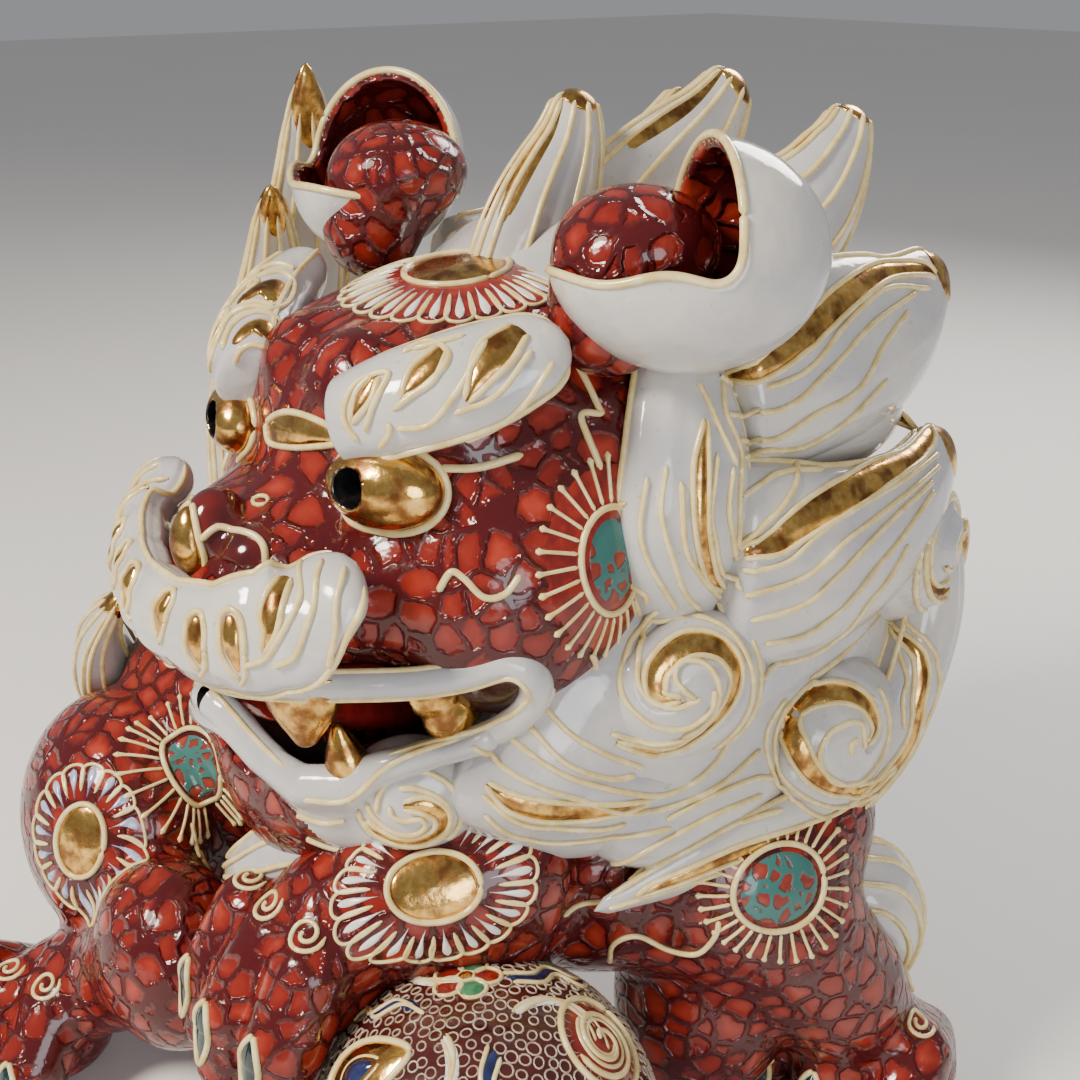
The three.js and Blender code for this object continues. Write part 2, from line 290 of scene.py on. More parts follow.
# ------------------------------------------------------------------------------- materials
class Paint:
    """A material and short ways to add nodes to it."""

    def __init__(self, name, **values):
        self.made = bpy.data.materials.new(name)
        self.made.use_nodes = True
        self.tree = self.made.node_tree
        self.shader = self.tree.nodes["Principled BSDF"]
        for key, value in values.items():
            self.shader.inputs[key.replace("_", " ").title()].default_value = value
        self.place = self.node("TexCoord").outputs["Object"]

    def node(self, kind, inputs=None, **settings):
        made = self.tree.nodes.new("ShaderNode" + kind)
        for key, value in settings.items():
            setattr(made, key, value)
        for key, value in (inputs or {}).items():
            if isinstance(value, bpy.types.NodeSocket):
                self.tree.links.new(value, made.inputs[key])
            else:
                made.inputs[key].default_value = value
        return made

    def noise(self, width, detail=2.0, vector=None):
        inputs = {"Vector": vector or self.place, "Scale": 1 / (width * MM), "Detail": detail}
        return self.node("TexNoise", inputs)

    def range(self, value, low, high, to_low=0.0, to_high=1.0, smooth=True):
        inputs = {"Value": value, "From Min": low, "From Max": high, "To Min": to_low, "To Max": to_high}
        kind = "SMOOTHSTEP" if smooth else "LINEAR"
        return self.node("MapRange", inputs, interpolation_type=kind).outputs["Result"]

    def mix(self, factor, a, b):
        made = self.node("Mix", {"Factor": factor}, data_type="RGBA")
        for socket, value in ((made.inputs[6], a), (made.inputs[7], b)):
            if isinstance(value, bpy.types.NodeSocket):
                self.tree.links.new(value, socket)
            else:
                socket.default_value = (*value, 1)
        return made.outputs[2]

    def math(self, operation, a, b=0.0):
        return self.node("Math", {0: a, 1: b}, operation=operation).outputs[0]

    def warped(self, width, by):
        """The place, pushed about by noise so that a regular pattern looks drawn by hand."""
        push = self.node("VectorMath", {0: self.noise(width).outputs["Color"], 1: (0.5, 0.5, 0.5)}, operation="SUBTRACT")
        scaled = self.node("VectorMath", {0: push.outputs[0], "Scale": by * MM}, operation="SCALE")
        return self.node("VectorMath", {0: self.place, 1: scaled.outputs[0]}, operation="ADD").outputs[0]

    def cells(self, width, vector, feature="DISTANCE_TO_EDGE", randomness=0.95):
        inputs = {"Vector": vector, "Scale": 1 / (width * MM), "Randomness": randomness}
        return self.node("TexVoronoi", inputs, feature=feature)

    def finish(self, color=None, roughness=None, height=None, depth=0.3):
        if color is not None:
            self.tree.links.new(color, self.shader.inputs["Base Color"])
        if roughness is not None:
            self.tree.links.new(roughness, self.shader.inputs["Roughness"])
        if height is not None:
            bump = self.node("Bump", {"Height": height, "Strength": 1.0, "Distance": depth * MM})
            self.tree.links.new(bump.outputs["Normal"], self.shader.inputs["Normal"])
        return self.made


def cell_enamel(name, width, light, deep, net_color, net=(0.05, 0.2), relief=0.6):
    """Rounded pools of enamel inside a thick, darker network."""
    paint = Paint(name, coat_weight=0.15, coat_roughness=0.05)
    paint.shader.inputs["Specular IOR Level"].default_value = 0.4
    place = paint.warped(7, 3.4)
    bend = paint.node("VectorMath", {0: paint.noise(2.6).outputs["Color"], "Scale": 1.3 * MM}, operation="SCALE")
    place = paint.node("VectorMath", {0: place, 1: bend.outputs[0]}, operation="ADD").outputs[0]
    nearest = paint.cells(width, place, "F1").outputs
    reach = nearest["Distance"]
    gap = paint.math("SUBTRACT", paint.cells(width, place, "F2").outputs["Distance"], reach)
    edge = paint.math("MULTIPLY", gap, 0.5)
    edge = paint.math("SUBTRACT", edge, paint.range(reach, 0.42, 1.0, 0, 0.10, False))
    pool = paint.range(edge, net[0], net[1])
    tint = paint.node("SeparateColor", {"Color": nearest["Color"]}).outputs[0]
    heart = paint.math("MULTIPLY", paint.range(edge, net[1] * 0.6, 0.42), paint.range(tint, 0.0, 1.0, 0.4, 1.0))
    color = paint.mix(pool, net_color, paint.mix(heart, deep, light))
    grain = paint.noise(1.1, 3).outputs["Fac"]
    roughness = paint.range(grain, 0.3, 0.8, 0.08, 0.22)
    swell = paint.math("MULTIPLY", heart, 0.22)
    height = paint.math("SUBTRACT", paint.math("ADD", swell, paint.math("MULTIPLY", paint.noise(2.5).outputs["Fac"], 0.2)), pool)
    return paint.finish(color, roughness, height, relief)


def white_glaze():
    paint = Paint("white_glaze", coat_weight=0.6, coat_roughness=0.04)
    cloud = paint.noise(22, 4).outputs["Fac"]
    tone = paint.mix(paint.range(cloud, 0.3, 0.7), (0.47, 0.46, 0.475), (0.62, 0.585, 0.53))
    hollow = paint.range(paint.node("NewGeometry").outputs["Pointiness"], 0.44, 0.5, 1, 0)
    dusty = paint.mix(paint.math("MULTIPLY", hollow, 0.55), tone, (0.40, 0.30, 0.20))
    specks = paint.range(paint.noise(1.6, 1).outputs["Fac"], 0.72, 0.78)
    color = paint.mix(paint.math("MULTIPLY", specks, 0.5), dusty, (0.42, 0.33, 0.22))
    roughness = paint.range(paint.noise(9, 3).outputs["Fac"], 0.3, 0.7, 0.08, 0.2)
    return paint.finish(color, roughness, paint.noise(5, 2).outputs["Fac"], 0.35)


def gilding():
    paint = Paint("gilding", metallic=1.0)
    wear = paint.range(paint.noise(4.5, 5).outputs["Fac"], 0.38, 0.66)
    streak = paint.range(paint.noise(1.2, 3).outputs["Fac"], 0.35, 0.75)
    bright = paint.mix(streak, (0.78, 0.44, 0.10), (0.92, 0.60, 0.20))
    color = paint.mix(wear, bright, (0.22, 0.09, 0.03))
    roughness = paint.range(wear, 0, 1, 0.16, 0.34)
    return paint.finish(color, roughness, paint.noise(2.2, 3).outputs["Fac"], 0.12)


def glossy(name, low, high, roughness=0.12, width=3.0):
    """A flowed enamel in one colour, a little thinner here and thicker there."""
    paint = Paint(name, coat_weight=0.4, coat_roughness=0.05)
    flow = paint.noise(width, 3).outputs["Fac"]
    color = paint.mix(paint.range(flow, 0.3, 0.7), low, high)
    grain = paint.range(paint.noise(width * 0.5, 2).outputs["Fac"], 0.3, 0.7, roughness * 0.7, roughness * 1.5)
    return paint.finish(color, grain, flow, 0.15)


RED = cell_enamel("red_enamel", CELL, (0.38, 0.042, 0.020), (0.17, 0.012, 0.008), (0.066, 0.006, 0.007), (0.0, 0.12))
RED_PLAIN = glossy("plain_red", (0.15, 0.010, 0.008), (0.30, 0.022, 0.010), 0.1)
# dark maroon nose enamel, darkened further as painted shade so that the nostril hollows and the bulb read dark
NOSE_RED_SHADED = glossy("nose_red_shaded", (0.045, 0.005, 0.006), (0.12, 0.010, 0.008), 0.1, 9)
TEAL = cell_enamel("teal_enamel", 3.6, (0.34, 0.05, 0.03), (0.20, 0.03, 0.02), (0.045, 0.15, 0.135), (0.07, 0.16), 0.3)
WHITE = white_glaze()
GOLD = gilding()
CREAM = glossy("cream_line", (0.70, 0.52, 0.20), (0.83, 0.68, 0.34), 0.22, 4)
PETAL = glossy("white_petal", (0.70, 0.67, 0.62), (0.86, 0.84, 0.80))
LILAC = glossy("lilac_petal", (0.22, 0.26, 0.50), (0.55, 0.57, 0.72))
NAVY = glossy("navy_enamel", (0.008, 0.012, 0.05), (0.02, 0.03, 0.11), 0.08)
MOUTH_RED = glossy("mouth_red", (0.012, 0.002, 0.002), (0.035, 0.004, 0.004), 0.12)
TONGUE_RED = glossy("tongue_red", (0.20, 0.010, 0.010), (0.32, 0.018, 0.014), 0.08)
PUPIL = glossy("pupil", (0.004, 0.004, 0.005), (0.012, 0.010, 0.010), 0.1)
CLAW = glossy("claw_enamel", (0.004, 0.012, 0.014), (0.012, 0.05, 0.055), 0.08)
GREEN = glossy("leaf_green", (0.02, 0.12, 0.06), (0.05, 0.22, 0.10), 0.1)
# a dimmer copy of the cream lines for the ball's circlets: painted shade for the shadow the ball lies in
CIRCLET_SHADED = glossy("circlet_line_shaded", (0.36, 0.27, 0.19), (0.52, 0.42, 0.31), 0.2)
# the ball's dark maroon ground, made darker still as painted shade for the shadow the ball lies in
BALL_GROUND_SHADED = glossy("ball_ground_shaded", (0.035, 0.005, 0.006), (0.075, 0.013, 0.010), 0.1, 9)


# ------------------------------------------------------------------------------- locks of hair
class Lock:
    """A flame of hair along a curve: half widths across the face direction, half depths along it."""

    def __init__(self, points, widths, depths, face, flutes=6, scallops=0, blunt=0.93):
        self.points, self.widths, self.depths = points, widths, depths
        self.flutes, self.scallops, self.blunt = flutes, scallops, blunt
        self.face = np.array(face, float)

    def at(self, u, turn, lift=0.0):
        """Places on the skin at u along the lock, from 0 to 1, and turn round it: 0 to pi is the face side."""
        u, turn = np.broadcast_arrays(np.asarray(u, float), turn)
        steps = 200
        line = spline(self.points, steps)
        along = unit(np.gradient(line, axis=0))
        side = unit(np.cross(self.face, along))
        out = np.cross(along, side)
        wide = spline([[w] for w in self.widths], steps)[:, 0]
        deep = spline([[d] for d in self.depths], steps)[:, 0]

        def read(values):
            where = np.clip(u, 0, 1) * (steps - 1)
            i = np.minimum(where.astype(int), steps - 2)
            f = (where - i)[(...,) + (None,) * (values.ndim - 1)]
            return values[i] * (1 - f) + values[i + 1] * f

        round_end = np.sqrt(np.clip(1 - np.clip((u - self.blunt) / (1 - self.blunt), 0, 1) ** 2, 0, 1))
        round_end = round_end * np.sqrt(np.clip(1 - np.clip((0.05 - u) / 0.05, 0, 1) ** 2, 0, 1))
        groove = 1 + 0.05 * np.cos(2 * self.flutes * turn) * np.clip(1 - u, 0, 1)
        if self.scallops:
            groove = groove + 0.12 * (np.abs(np.sin(self.scallops * math.pi * u)) - 0.5)
        w = (read(wide) * round_end * (0.5 + 0.5 * groove if self.scallops else 1) + lift)[..., None]
        d = (read(deep) * round_end * groove + lift)[..., None]
        return read(line) + read(side) * w * np.cos(turn)[..., None] + read(out) * d * np.sin(turn)[..., None]

    def skin(self, rings=46, around=44):
        u = np.linspace(0, 1, rings)[:, None]
        turn = np.linspace(0, 2 * math.pi, around, endpoint=False)[None]
        return gridded(self.at(u, turn), around=True)

    def line(self, turn, u0=0.06, u1=0.93, radius=LINE_R, bend=0.0, n=44):
        """A piped line along the lock. bend lets it drift round the lock on its way to the tip."""
        u = np.linspace(u0, u1, n)
        turns = turn + bend * (u - u0)
        here = self.at(u, turns)
        out = unit(self.at(u, turns, 1.0) - here)
        fade = np.minimum(1, np.minimum(u - u0, u1 - u) / 0.06 + 0.45)
        return tube(here + out * radius * 0.25, radius * fade, out)

    def across(self, u, turn0, turn1, radius=LINE_R, bend=0.0, n=24):
        """A piped line across the lock."""
        t = np.linspace(0, 1, n)
        us, turns = u + bend * np.sin(2 * math.pi * t), math.pi * (turn0 + (turn1 - turn0) * t)
        here = self.at(us, turns)
        out = unit(self.at(us, turns, 1.0) - here)
        return tube(here + out * radius * 0.25, radius, out)

    def near(self, u, turn, xy, lift=0.0):
        """Places round a spot on the skin: x runs along the lock and y across it, in millimetres."""
        xy = np.asarray(xy, float)
        long = length(spline(self.points, 60))
        across = spline([[w] for w in self.widths], 60)[int(u * 59), 0] * 1.35
        return self.at(u + xy[..., 0] / long, math.pi * turn - xy[..., 1] / across, lift)

    def spot(self, u, turn, outline, size=1.0, height=0.9):
        """A domed patch of gilding on the skin."""
        outline = closed(np.array(outline) * size)
        t = np.sin(np.linspace(0, math.pi / 2, 7))[:, None, None]
        xy = outline.mean(0) + (outline - outline.mean(0)) * t
        lift = height * np.sqrt(np.clip(1 - t[..., 0] ** 2, 0, 1)) - 0.12
        verts, faces = gridded(self.near(u, turn, xy, np.broadcast_to(lift, xy.shape[:2])), around=True)
        return verts, faces

    def squiggle(self, u, turn, path, size=1.0, radius=LINE_R):
        """A piped line on the skin, drawn round a spot."""
        path = spline(np.array(path) * size, 44)
        here = self.near(u, turn, path)
        out = unit(self.near(u, turn, path, 1.0) - here)
        return tube(here + out * radius * 0.25, radius, out)

    def tip_cap(self, start=0.9):
        """Gilding over the very tip."""
        turn = np.linspace(0, 2 * math.pi, 32, endpoint=False)[None]
        u = np.linspace(start, 1, 12)[:, None] + 0.035 * np.cos(2 * turn) * np.linspace(1, 0, 12)[:, None]
        lift = np.concatenate([[-0.3], np.full(11, 0.18)])[:, None]
        return gridded(self.at(u, turn, lift), around=True)

    def lines(self, count, back=False, **more):
        turns = math.pi * (np.arange(count) + 0.5) / count
        if back:
            turns = np.concatenate([turns, turns + math.pi])
        return [self.line(t, **more) for t in turns]

    def stroke(self, turn, half, u0, u1, lift=0.28, bend=0.0, n=30, m=9):
        """A brush stroke of gilding along the lock, pointed at both ends."""
        t = np.linspace(0, 1, n)[:, None]
        v = np.linspace(-1, 1, m)[None]
        u = u0 + (u1 - u0) * t
        swell = np.sin(math.pi * t**0.8) ** 0.6
        turns = turn + bend * t + half * swell * v
        height = lift * (1 - v**2) * swell**0.3 - 0.12
        return gridded(self.at(np.broadcast_to(u, turns.shape), turns, height))


def flame(points, wide, deep, face, flutes=7):
    widths = [wide * 1.2, wide * 1.1, wide * 0.85, wide * 0.56, wide * 0.3]
    depths = [deep * 1.2, deep * 1.25, deep, deep * 0.75, deep * 0.5]
    return Lock(points, widths, depths, face, flutes, blunt=0.9)


class Skin:
    """A finished mesh that things can be drawn on."""

    def __init__(self, mesh_data):
        verts, faces = mesh_data
        self.tree = BVHTree.FromPolygons(verts.tolist(), faces.tolist())

    def press(self, points):
        found = [self.tree.find_nearest(Vector(p)) for p in points]
        return np.array([f[0] for f in found]), np.array([f[1] for f in found])

    def from_side(self, places):
        """Where the left side shows the given y and z."""
        made = []
        for y, z in places:
            hit = self.tree.ray_cast(Vector((150, y, z)), Vector((-1, 0, 0)))[0]
            made.append(hit or self.tree.find_nearest(Vector((60, y, z)))[0])
        return np.array(made)

    def band(self, points, halves, height=0.55):
        """A band of gilding along the points, and the two piped lines that hold it."""
        n = max(16, int(length(points) / 0.9))
        path, half = spline(points, n), spline([[h] for h in halves], n)[:, 0]
        places, out = self.press(path)
        for _ in range(3):
            out = unit(out + np.roll(out, 1, 0) + np.roll(out, -1, 0))
            out[[0, -1]] = out[[1, -2]]
        side = unit(np.cross(out, np.gradient(path, axis=0)))
        steps = np.linspace(-1, 1, 9)
        flat = places[:, None] + side[:, None] * half[:, None, None] * steps[None, :, None]
        spots, up = self.press(flat.reshape(-1, 3))
        lift = (height * (1 - steps**2)[None] * np.minimum(1, half)[:, None] - 0.1).reshape(-1, 1)
        verts, faces = gridded((spots + up * lift).reshape(flat.shape))
        edges = [self.line(flat[:, k], LINE_R * 0.9, smooth=False) for k in (0, -1)]
        return (verts, faces[:, ::-1]), edges

    def line(self, points, radius=LINE_R, smooth=True):
        """A piped line through the points, pressed onto the mesh."""
        points = np.array(points, float)
        path = spline(points, max(10, int(length(points) / 0.8))) if smooth else points
        places, out = self.press(path)
        out = unit(out + np.roll(out, 1, 0) + np.roll(out, -1, 0)) if len(out) > 6 else out
        out[[0, -1]] = out[[1, -2]]
        return tube(places + out * radius * 0.3, radius, out)

    def ring(self, points, radius=LINE_R):
        return self.line(closed(points), radius, smooth=False)

    def patch(self, points, height=0.8, rings=8):
        """A domed patch inside the outline through the points, which run anticlockwise seen from outside."""
        outline = closed(points)
        middle = outline.mean(0)
        t = np.sin(np.linspace(0, math.pi / 2, rings))[:, None, None]
        flat = middle + (outline - middle) * t
        places, out = self.press(flat.reshape(-1, 3))
        lift = np.broadcast_to(height * np.sqrt(np.clip(1 - t[..., 0] ** 2, 0, 1)) - 0.12, flat.shape[:2])
        facing = out[: len(outline)].mean(0)
        verts, faces = gridded((places + out * lift.reshape(-1, 1)).reshape(flat.shape), around=True)
        a, b = outline - middle, np.roll(outline, -1, 0) - middle
        clockwise = (np.cross(a, b).sum(0) @ facing) < 0
        return verts, faces if clockwise else faces[:, ::-1]


# ------------------------------------------------------------------------------- drawing on a surface
def length(points):
    return np.linalg.norm(np.diff(points, axis=0), axis=1).sum()


class Sheet:
    """A drawing laid on a shape. Seen from outside, its x runs to the right and its y up."""

    def __init__(self, shape, middle, up=(0, 0, 1)):
        self.shape = shape
        at, out = press(shape, [middle])
        self.at, self.out = at[0], out[0]
        up = np.array(up, float)
        self.up = unit(up - (up @ self.out) * self.out)
        self.right = np.cross(self.up, self.out)

    def lay(self, xy, lift=0.0):
        xy = np.asarray(xy, float)
        flat = self.at + xy[..., :1] * self.right + xy[..., 1:] * self.up
        lifts = np.broadcast_to(lift, xy.shape[:-1]).ravel()
        places, out = press(self.shape, flat.reshape(-1, 3), lifts)
        return places.reshape(flat.shape), out.reshape(flat.shape)

    def line(self, xy, radius=LINE_R, smooth=True):
        xy = np.asarray(xy, float)
        count = max(8, int(length(xy) / 0.8))
        path = spline(xy, count) if smooth else xy
        places, out = self.lay(path, radius * 0.3)
        return tube(places, radius, out)

    def ribbon(self, path, half, height=0.55):
        """A flat band of enamel along a path, rounded across and at its ends."""
        path = spline(path, max(12, int(length(np.array(path, float)) / 0.8)))
        way = unit(np.gradient(path, axis=0))
        away = np.stack([-way[:, 1], way[:, 0]], 1)
        t = np.linspace(-1, 1, len(path))
        wide = half * np.sqrt(np.clip(1 - t**8, 0.02, 1))
        steps = np.linspace(-1, 1, 7)[None, :, None]
        xy = path[:, None] + away[:, None] * wide[:, None, None] * steps
        lift = np.broadcast_to(height * (1 - steps[..., 0] ** 2) - 0.1, xy.shape[:2])
        return gridded(self.lay(xy, lift)[0])

    def ring(self, a, b=None, at=(0, 0), radius=LINE_R):
        return self.line(np.array(at) + oval(a, b or a), radius)

    def pin(self, start, end, radius=LINE_R):
        """A straight piped tick with a drop at its outer end."""
        t = np.linspace(0, 1, 14)
        path = np.outer(1 - t, start) + np.outer(t, end)
        swell = radius * (0.75 + 0.7 * np.exp(-(((t - 0.93) / 0.09) ** 2)) + 0.3 * np.exp(-((t / 0.08) ** 2)))
        places, out = self.lay(path, radius * 0.3)
        return tube(places, swell, out)

    def patch(self, outline, height=0.5, rings=9):
        """A filled shape, domed like a drop of enamel."""
        outline = np.asarray(outline, float)
        x, y = outline.T
        if (x * np.roll(y, -1) - y * np.roll(x, -1)).sum() > 0:
            outline = outline[::-1]
        middle = outline.mean(0)
        t = np.sin(np.linspace(0, math.pi / 2, rings))[:, None, None]
        xy = middle + (outline - middle) * t
        lift = height * np.sqrt(np.clip(1 - t[..., 0] ** 2, 0, 1)) - 0.12
        return gridded(self.lay(xy, lift)[0], around=True)

    def petal(self, start, end, half, height=0.6):
        """A drop from start, where it is thin, to end, where it is half wide on each side."""
        start, end = np.array(start, float), np.array(end, float)
        along = unit(end - start)
        across = np.array([-along[1], along[0]])
        t = np.linspace(0, 1, 14)
        wide = half * np.sin(math.pi * t**1.9) ** 0.62 * (0.25 + 0.75 * t)
        spine = start + (end - start) * t[:, None]
        outline = np.concatenate([spine + across * wide[:, None], (spine - across * wide[:, None])[-2:0:-1]])
        return self.patch(outline, height, 6)


def oval(a, b, n=40, start=0.0, sweep=2 * math.pi):
    turn = start + np.linspace(0, sweep, n)
    return np.stack([a * np.cos(turn), b * np.sin(turn)], 1)


def coil(turns, inner, outer, start=0.0, n=60):
    """A flat spiral from its middle outwards. It runs clockwise where turns is negative."""
    t = np.linspace(0, 1, n)
    turn = start + 2 * math.pi * turns * t
    r = inner + (outer - inner) * t**0.8
    return np.stack([r * np.cos(turn), r * np.sin(turn)], 1)


def flipped(mesh_data):
    """The same mesh for the other side of the head."""
    verts, faces = mesh_data
    return verts * (-1, 1, 1), faces[:, ::-1]


DRAWN = {}
HAIR = []


def draw(group, kind, *parts, at=(0, 0, 0)):
    """Keeps enamel and gilding to be added together, one piece for each group and kind."""
    for verts, faces in parts:
        DRAWN.setdefault((group, kind), []).append((verts + np.array(at, float), faces))


def draw_both(group, kind, *parts):
    """Draws on the left of the head, and the same on the right."""
    draw(group, kind, *parts, at=HEAD)
    draw(group, kind, *(flipped(part) for part in parts), at=HEAD)


def on_head(name, mesh_data, material, slot, *stands_for, **more):
    verts, faces = mesh_data
    return add(name, (verts + HEAD, faces), material, slot, stands_for, **more)


def on_both(name, mesh_data, material, slot, node=None):
    for side, mesh in (("left", mesh_data), ("right", flipped(mesh_data))):
        on_head(f"{name}_{side}", mesh, material, slot, *([f"{node}_{side}"] if node else []))


# ------------------------------------------------------------------------------- head
MOUTH = egg((0, -24, -31), (46, 46, 10), (7, 0, 0))
PUPILS = melt(0.1, *(limb([(27.5 * s, -20, 19.5), (25 * s, -60, 18.5)], [PUPIL_R, PUPIL_R]) for _, s in SIDES))
BONE = melt(9, egg((0, 8, 12), (50, 46, 38)), egg((0, -30, -5), (33, 32, 20)), egg((0, -18, 26), (36, 18, 15)))
FACE = melt(8, BONE, *(egg((32 * s, -8, -6), (22, 28, 27)) for _, s in SIDES))
FROWN = melt(4, *(egg((9 * s, -27, 33), (10, 9, 9)) for _, s in SIDES))
SKULL = melt(4, FACE, FROWN)
HEAD_RED = cut(cut(SKULL, MOUTH, 3), PUPILS, 0.8)
LOWER_LIP = [(49.5, -17, -19.5), (47, -19, -25), (43, -24.5, -29), (38, -31, -31.5), (32, -38, -35), (26, -44, -40)]
LOWER_LIP += [(19, -50, -41), (12, -54, -36.5), (5, -57, -30.5), (0, -58, -28.5)]
UPPER_LIP = [(0, -61, -17), (13, -61, -17), (24, -54, -16.5), (31, -45, -16.5), (37, -36, -16.5), (43.5, -29, -14.5)]
UPPER_LIP += [(48.5, -23, -12), (50.5, -19, -14.5)]


def ruff(s):
    """White hair that fills the side of the neck between the cheek, the jaw and the curls."""
    return melt(
        9,
        egg((44 * s, 26, -32), (17, 46, 28)),
        egg((40 * s, -2, -42), (15, 28, 15)),
        egg((47 * s, 58, -30), (13, 26, 30)),
        egg((53 * s, 26, -55), (11, 30, 13)),
        egg((46 * s, 62, 18), (11, 20, 12)),
    )


CAP = melt(9, egg((0, 34, 4), (56, 42, 56)), egg((0, 24, -30), (50, 34, 34)), ruff(1), ruff(-1))
LIP_RODS = [limb([(x * s, y, z) for x, y, z in LOWER_LIP[2:]], [3.4, 3.4, 3.6, 4.0, 4.0, 3.8, 3.6, 3.6]) for _, s in SIDES]
JAW_BOWL = melt(6, egg((0, -19, -48), (37, 36, 21)), egg((0, -38, -57), (17, 14, 13)), *LIP_RODS)
THROAT = melt(5, egg((0, -22, -38), (31, 33, 15)), egg((0, -24, -26), (44, 44, 9)))
JAW = cut(JAW_BOWL, THROAT, 2)


def face_centres(mesh_data):
    verts, faces = mesh_data
    return verts[faces].mean(1)


def head_shell():
    mesh = skin(HEAD_RED, (-58, -68, -42), (58, 60, 56), 1.5)
    middle = face_centres(mesh)
    # the mouth's inside, the corner the lips loop round, and the pits of the pupils
    corner = (middle[:, 1] < -17) & (middle[:, 2] < -15) & (middle[:, 2] > -30)
    dark = (MOUTH(middle) < 3.0) | corner | (PUPILS(middle) < 0.4)
    on_head("head_shell", mesh, [RED, MOUTH_RED], "red_enamel", "head_shell", which=dark)


def lower_jaw():
    mesh = skin(JAW, (-54, -66, -74), (54, 24, -18), 1.4)
    middle = face_centres(mesh)
    x, y, z = np.abs(middle[:, 0]), middle[:, 1], middle[:, 2]
    on_lip = np.minimum(*(rod(middle) for rod in LIP_RODS)) < 1.2
    inside = (THROAT(middle) < 0.5) & ~on_lip
    chin = (x < 16 - 0.35 * (z + 42)) & (y < -28) & (z < -34) & ~on_lip & ~inside
    which = np.where(inside, 2, np.where(chin, 1, 0))
    on_head("lower_jaw", mesh, [WHITE, RED, MOUTH_RED], "white_glaze", "lower_jaw", which=which)
    HAIR.append(mesh)
    # under the lip, and twice round the white of the jaw to the chin
    for path in (
        [(45, -21, -28), (42, -28, -29), (35, -39, -33), (29, -46, -41), (23, -52, -42)],
        [(27, -46, -48), (24, -50, -50), (19, -53, -49)],
        [(31, -38, -58), (24, -45, -59), (18, -50, -55)],
    ):
        places, out = press(JAW, spline(path, 60), LINE_R * 0.3)
        draw_both("head", "lines", tube(places, 0.62, out))


def lips():
    """A white roll along the upper lip and round the corner of the mouth to the lower lip."""
    path = spline(UPPER_LIP + LOWER_LIP, 120)
    t = np.linspace(0, 1, 120)
    width = 2.7 + 0.9 * np.exp(-(((t - 0.47) / 0.08) ** 2)) + 1.1 * np.clip((t - 0.72) / 0.15, 0, 1)
    out = unit(path - np.array([0, -22, -28]))
    turn = np.linspace(0, 2 * math.pi, 20, endpoint=False)
    along = unit(np.gradient(path, axis=0))
    side = unit(np.cross(along, out))
    lift = np.cross(side, along)
    ring = np.cos(turn)[None, :, None] * side[:, None] + 0.85 * np.sin(turn)[None, :, None] * lift[:, None]
    verts, faces = gridded(path[:, None] + width[:, None, None] * ring, around=True)
    both = joined([(verts, faces[:, ::-1]), flipped((verts, faces[:, ::-1]))])
    on_head("lips", both, WHITE, "white_glaze")
    for edge in (0.1, 0.9):
        a = math.pi * edge
        rim = path + width[:, None] * (math.cos(a) * side + 0.85 * math.sin(a) * lift)
        draw_both("head", "lines", tube(rim, LINE_R * 0.9, unit(math.cos(a) * side + math.sin(a) * lift)))


def muzzle():
    nostrils = [egg((9 * s, -50.5, 2.8), (7.8, 7.4, 6.8)) for _, s in SIDES]
    tip = egg((0, -54, 5), (6.6, 7.2, 9.6))
    nose = melt(2.5, tip, *nostrils)
    wings = cut(nose, melt(1, *(egg((10.5 * s, -57, 0.6), (3.8, 4, 3.2)) for _, s in SIDES)), 1.5)
    mesh = skin(wings, (-24, -66, -8), (24, -38, 20), 0.9)
    # the nose's dark red is partly its enamel and partly painted shade
    on_head("nose", mesh, NOSE_RED_SHADED, "red_enamel", "nose")
    bridge = Sheet(nose, (0, -62, 5))
    drop = [(0, 10), (3.6, 6.5), (5.6, 1), (5.4, -4), (3, -8), (0, -9.4), (-3, -8), (-5.4, -4), (-5.6, 1), (-3.6, 6.5)]
    outline = closed(drop)
    draw("head", "gilding", bridge.patch(outline * 0.93, 2.2), at=HEAD)
    draw("head", "lines", bridge.line(outline), at=HEAD)
    wing = Sheet(nose, (13, -56, 4))
    arch = [(-9, 3.0), (-5, 7.6), (0, 9.0), (4.5, 6), (5.4, 0), (4.2, -6)]
    draw_both("head", "lines", wing.line(arch, 0.7))

    half = [(0, -65, -8), (17, -62, -7), (31, -55, -1), (35, -45, 9)]
    widths, depths = [9, 10, 11, 7], [6, 6, 5, 4]
    band = [(-x, y, z) for x, y, z in half[:0:-1]] + half
    roll = Lock(band, widths[:0:-1] + widths, depths[:0:-1] + depths, (0, -1, 0), scallops=9)
    on_head("moustache", roll.skin(150, 60), WHITE, "white_glaze", "moustache")
    # each lobe of the moustache has a gilt comma with a cream line curled round it
    for u, size, *rise in ((0.565, 0.68, 5, 5), (0.655, 0.68, 1, 5), (0.735, 0.7, 0, 3)):
        for end, s, raised in ((u, 1, rise[0]), (1 - u, -1, rise[1])):
            lobe = MoustacheLobe(roll, end, s, raised)
            draw("head", "gilding", lobe.comma(size), at=HEAD)
            draw("head", "lines", *lobe.curls(size), at=HEAD)
    tuft = Skin(roll.skin(150, 60))
    for path in (
        [(27, -51, 8), (34, -56, 4), (32, -61, -5), (28, -64, -8)],
        [(32, -50, 10), (37, -55, 4), (37, -59, -4), (33, -61, -7)],
        [(36, -48, 9), (42, -54, 0), (41, -55, -6)],
    ):
        draw_both("head", "lines", tuft.line(path, 0.62))
    gilt, edges = tuft.band([(28, -55, 6), (31, -60, 2), (32, -61, -1), (31, -62, -5)], [1.2, 2.1, 1.3, 0.3])
    draw_both("head", "gilding", gilt)
    draw_both("head", "lines", *edges)
    for turn in (0.04, 0.96):
        draw("head", "lines", roll.line(math.pi * turn, 0.02, 0.98, n=140), at=HEAD)


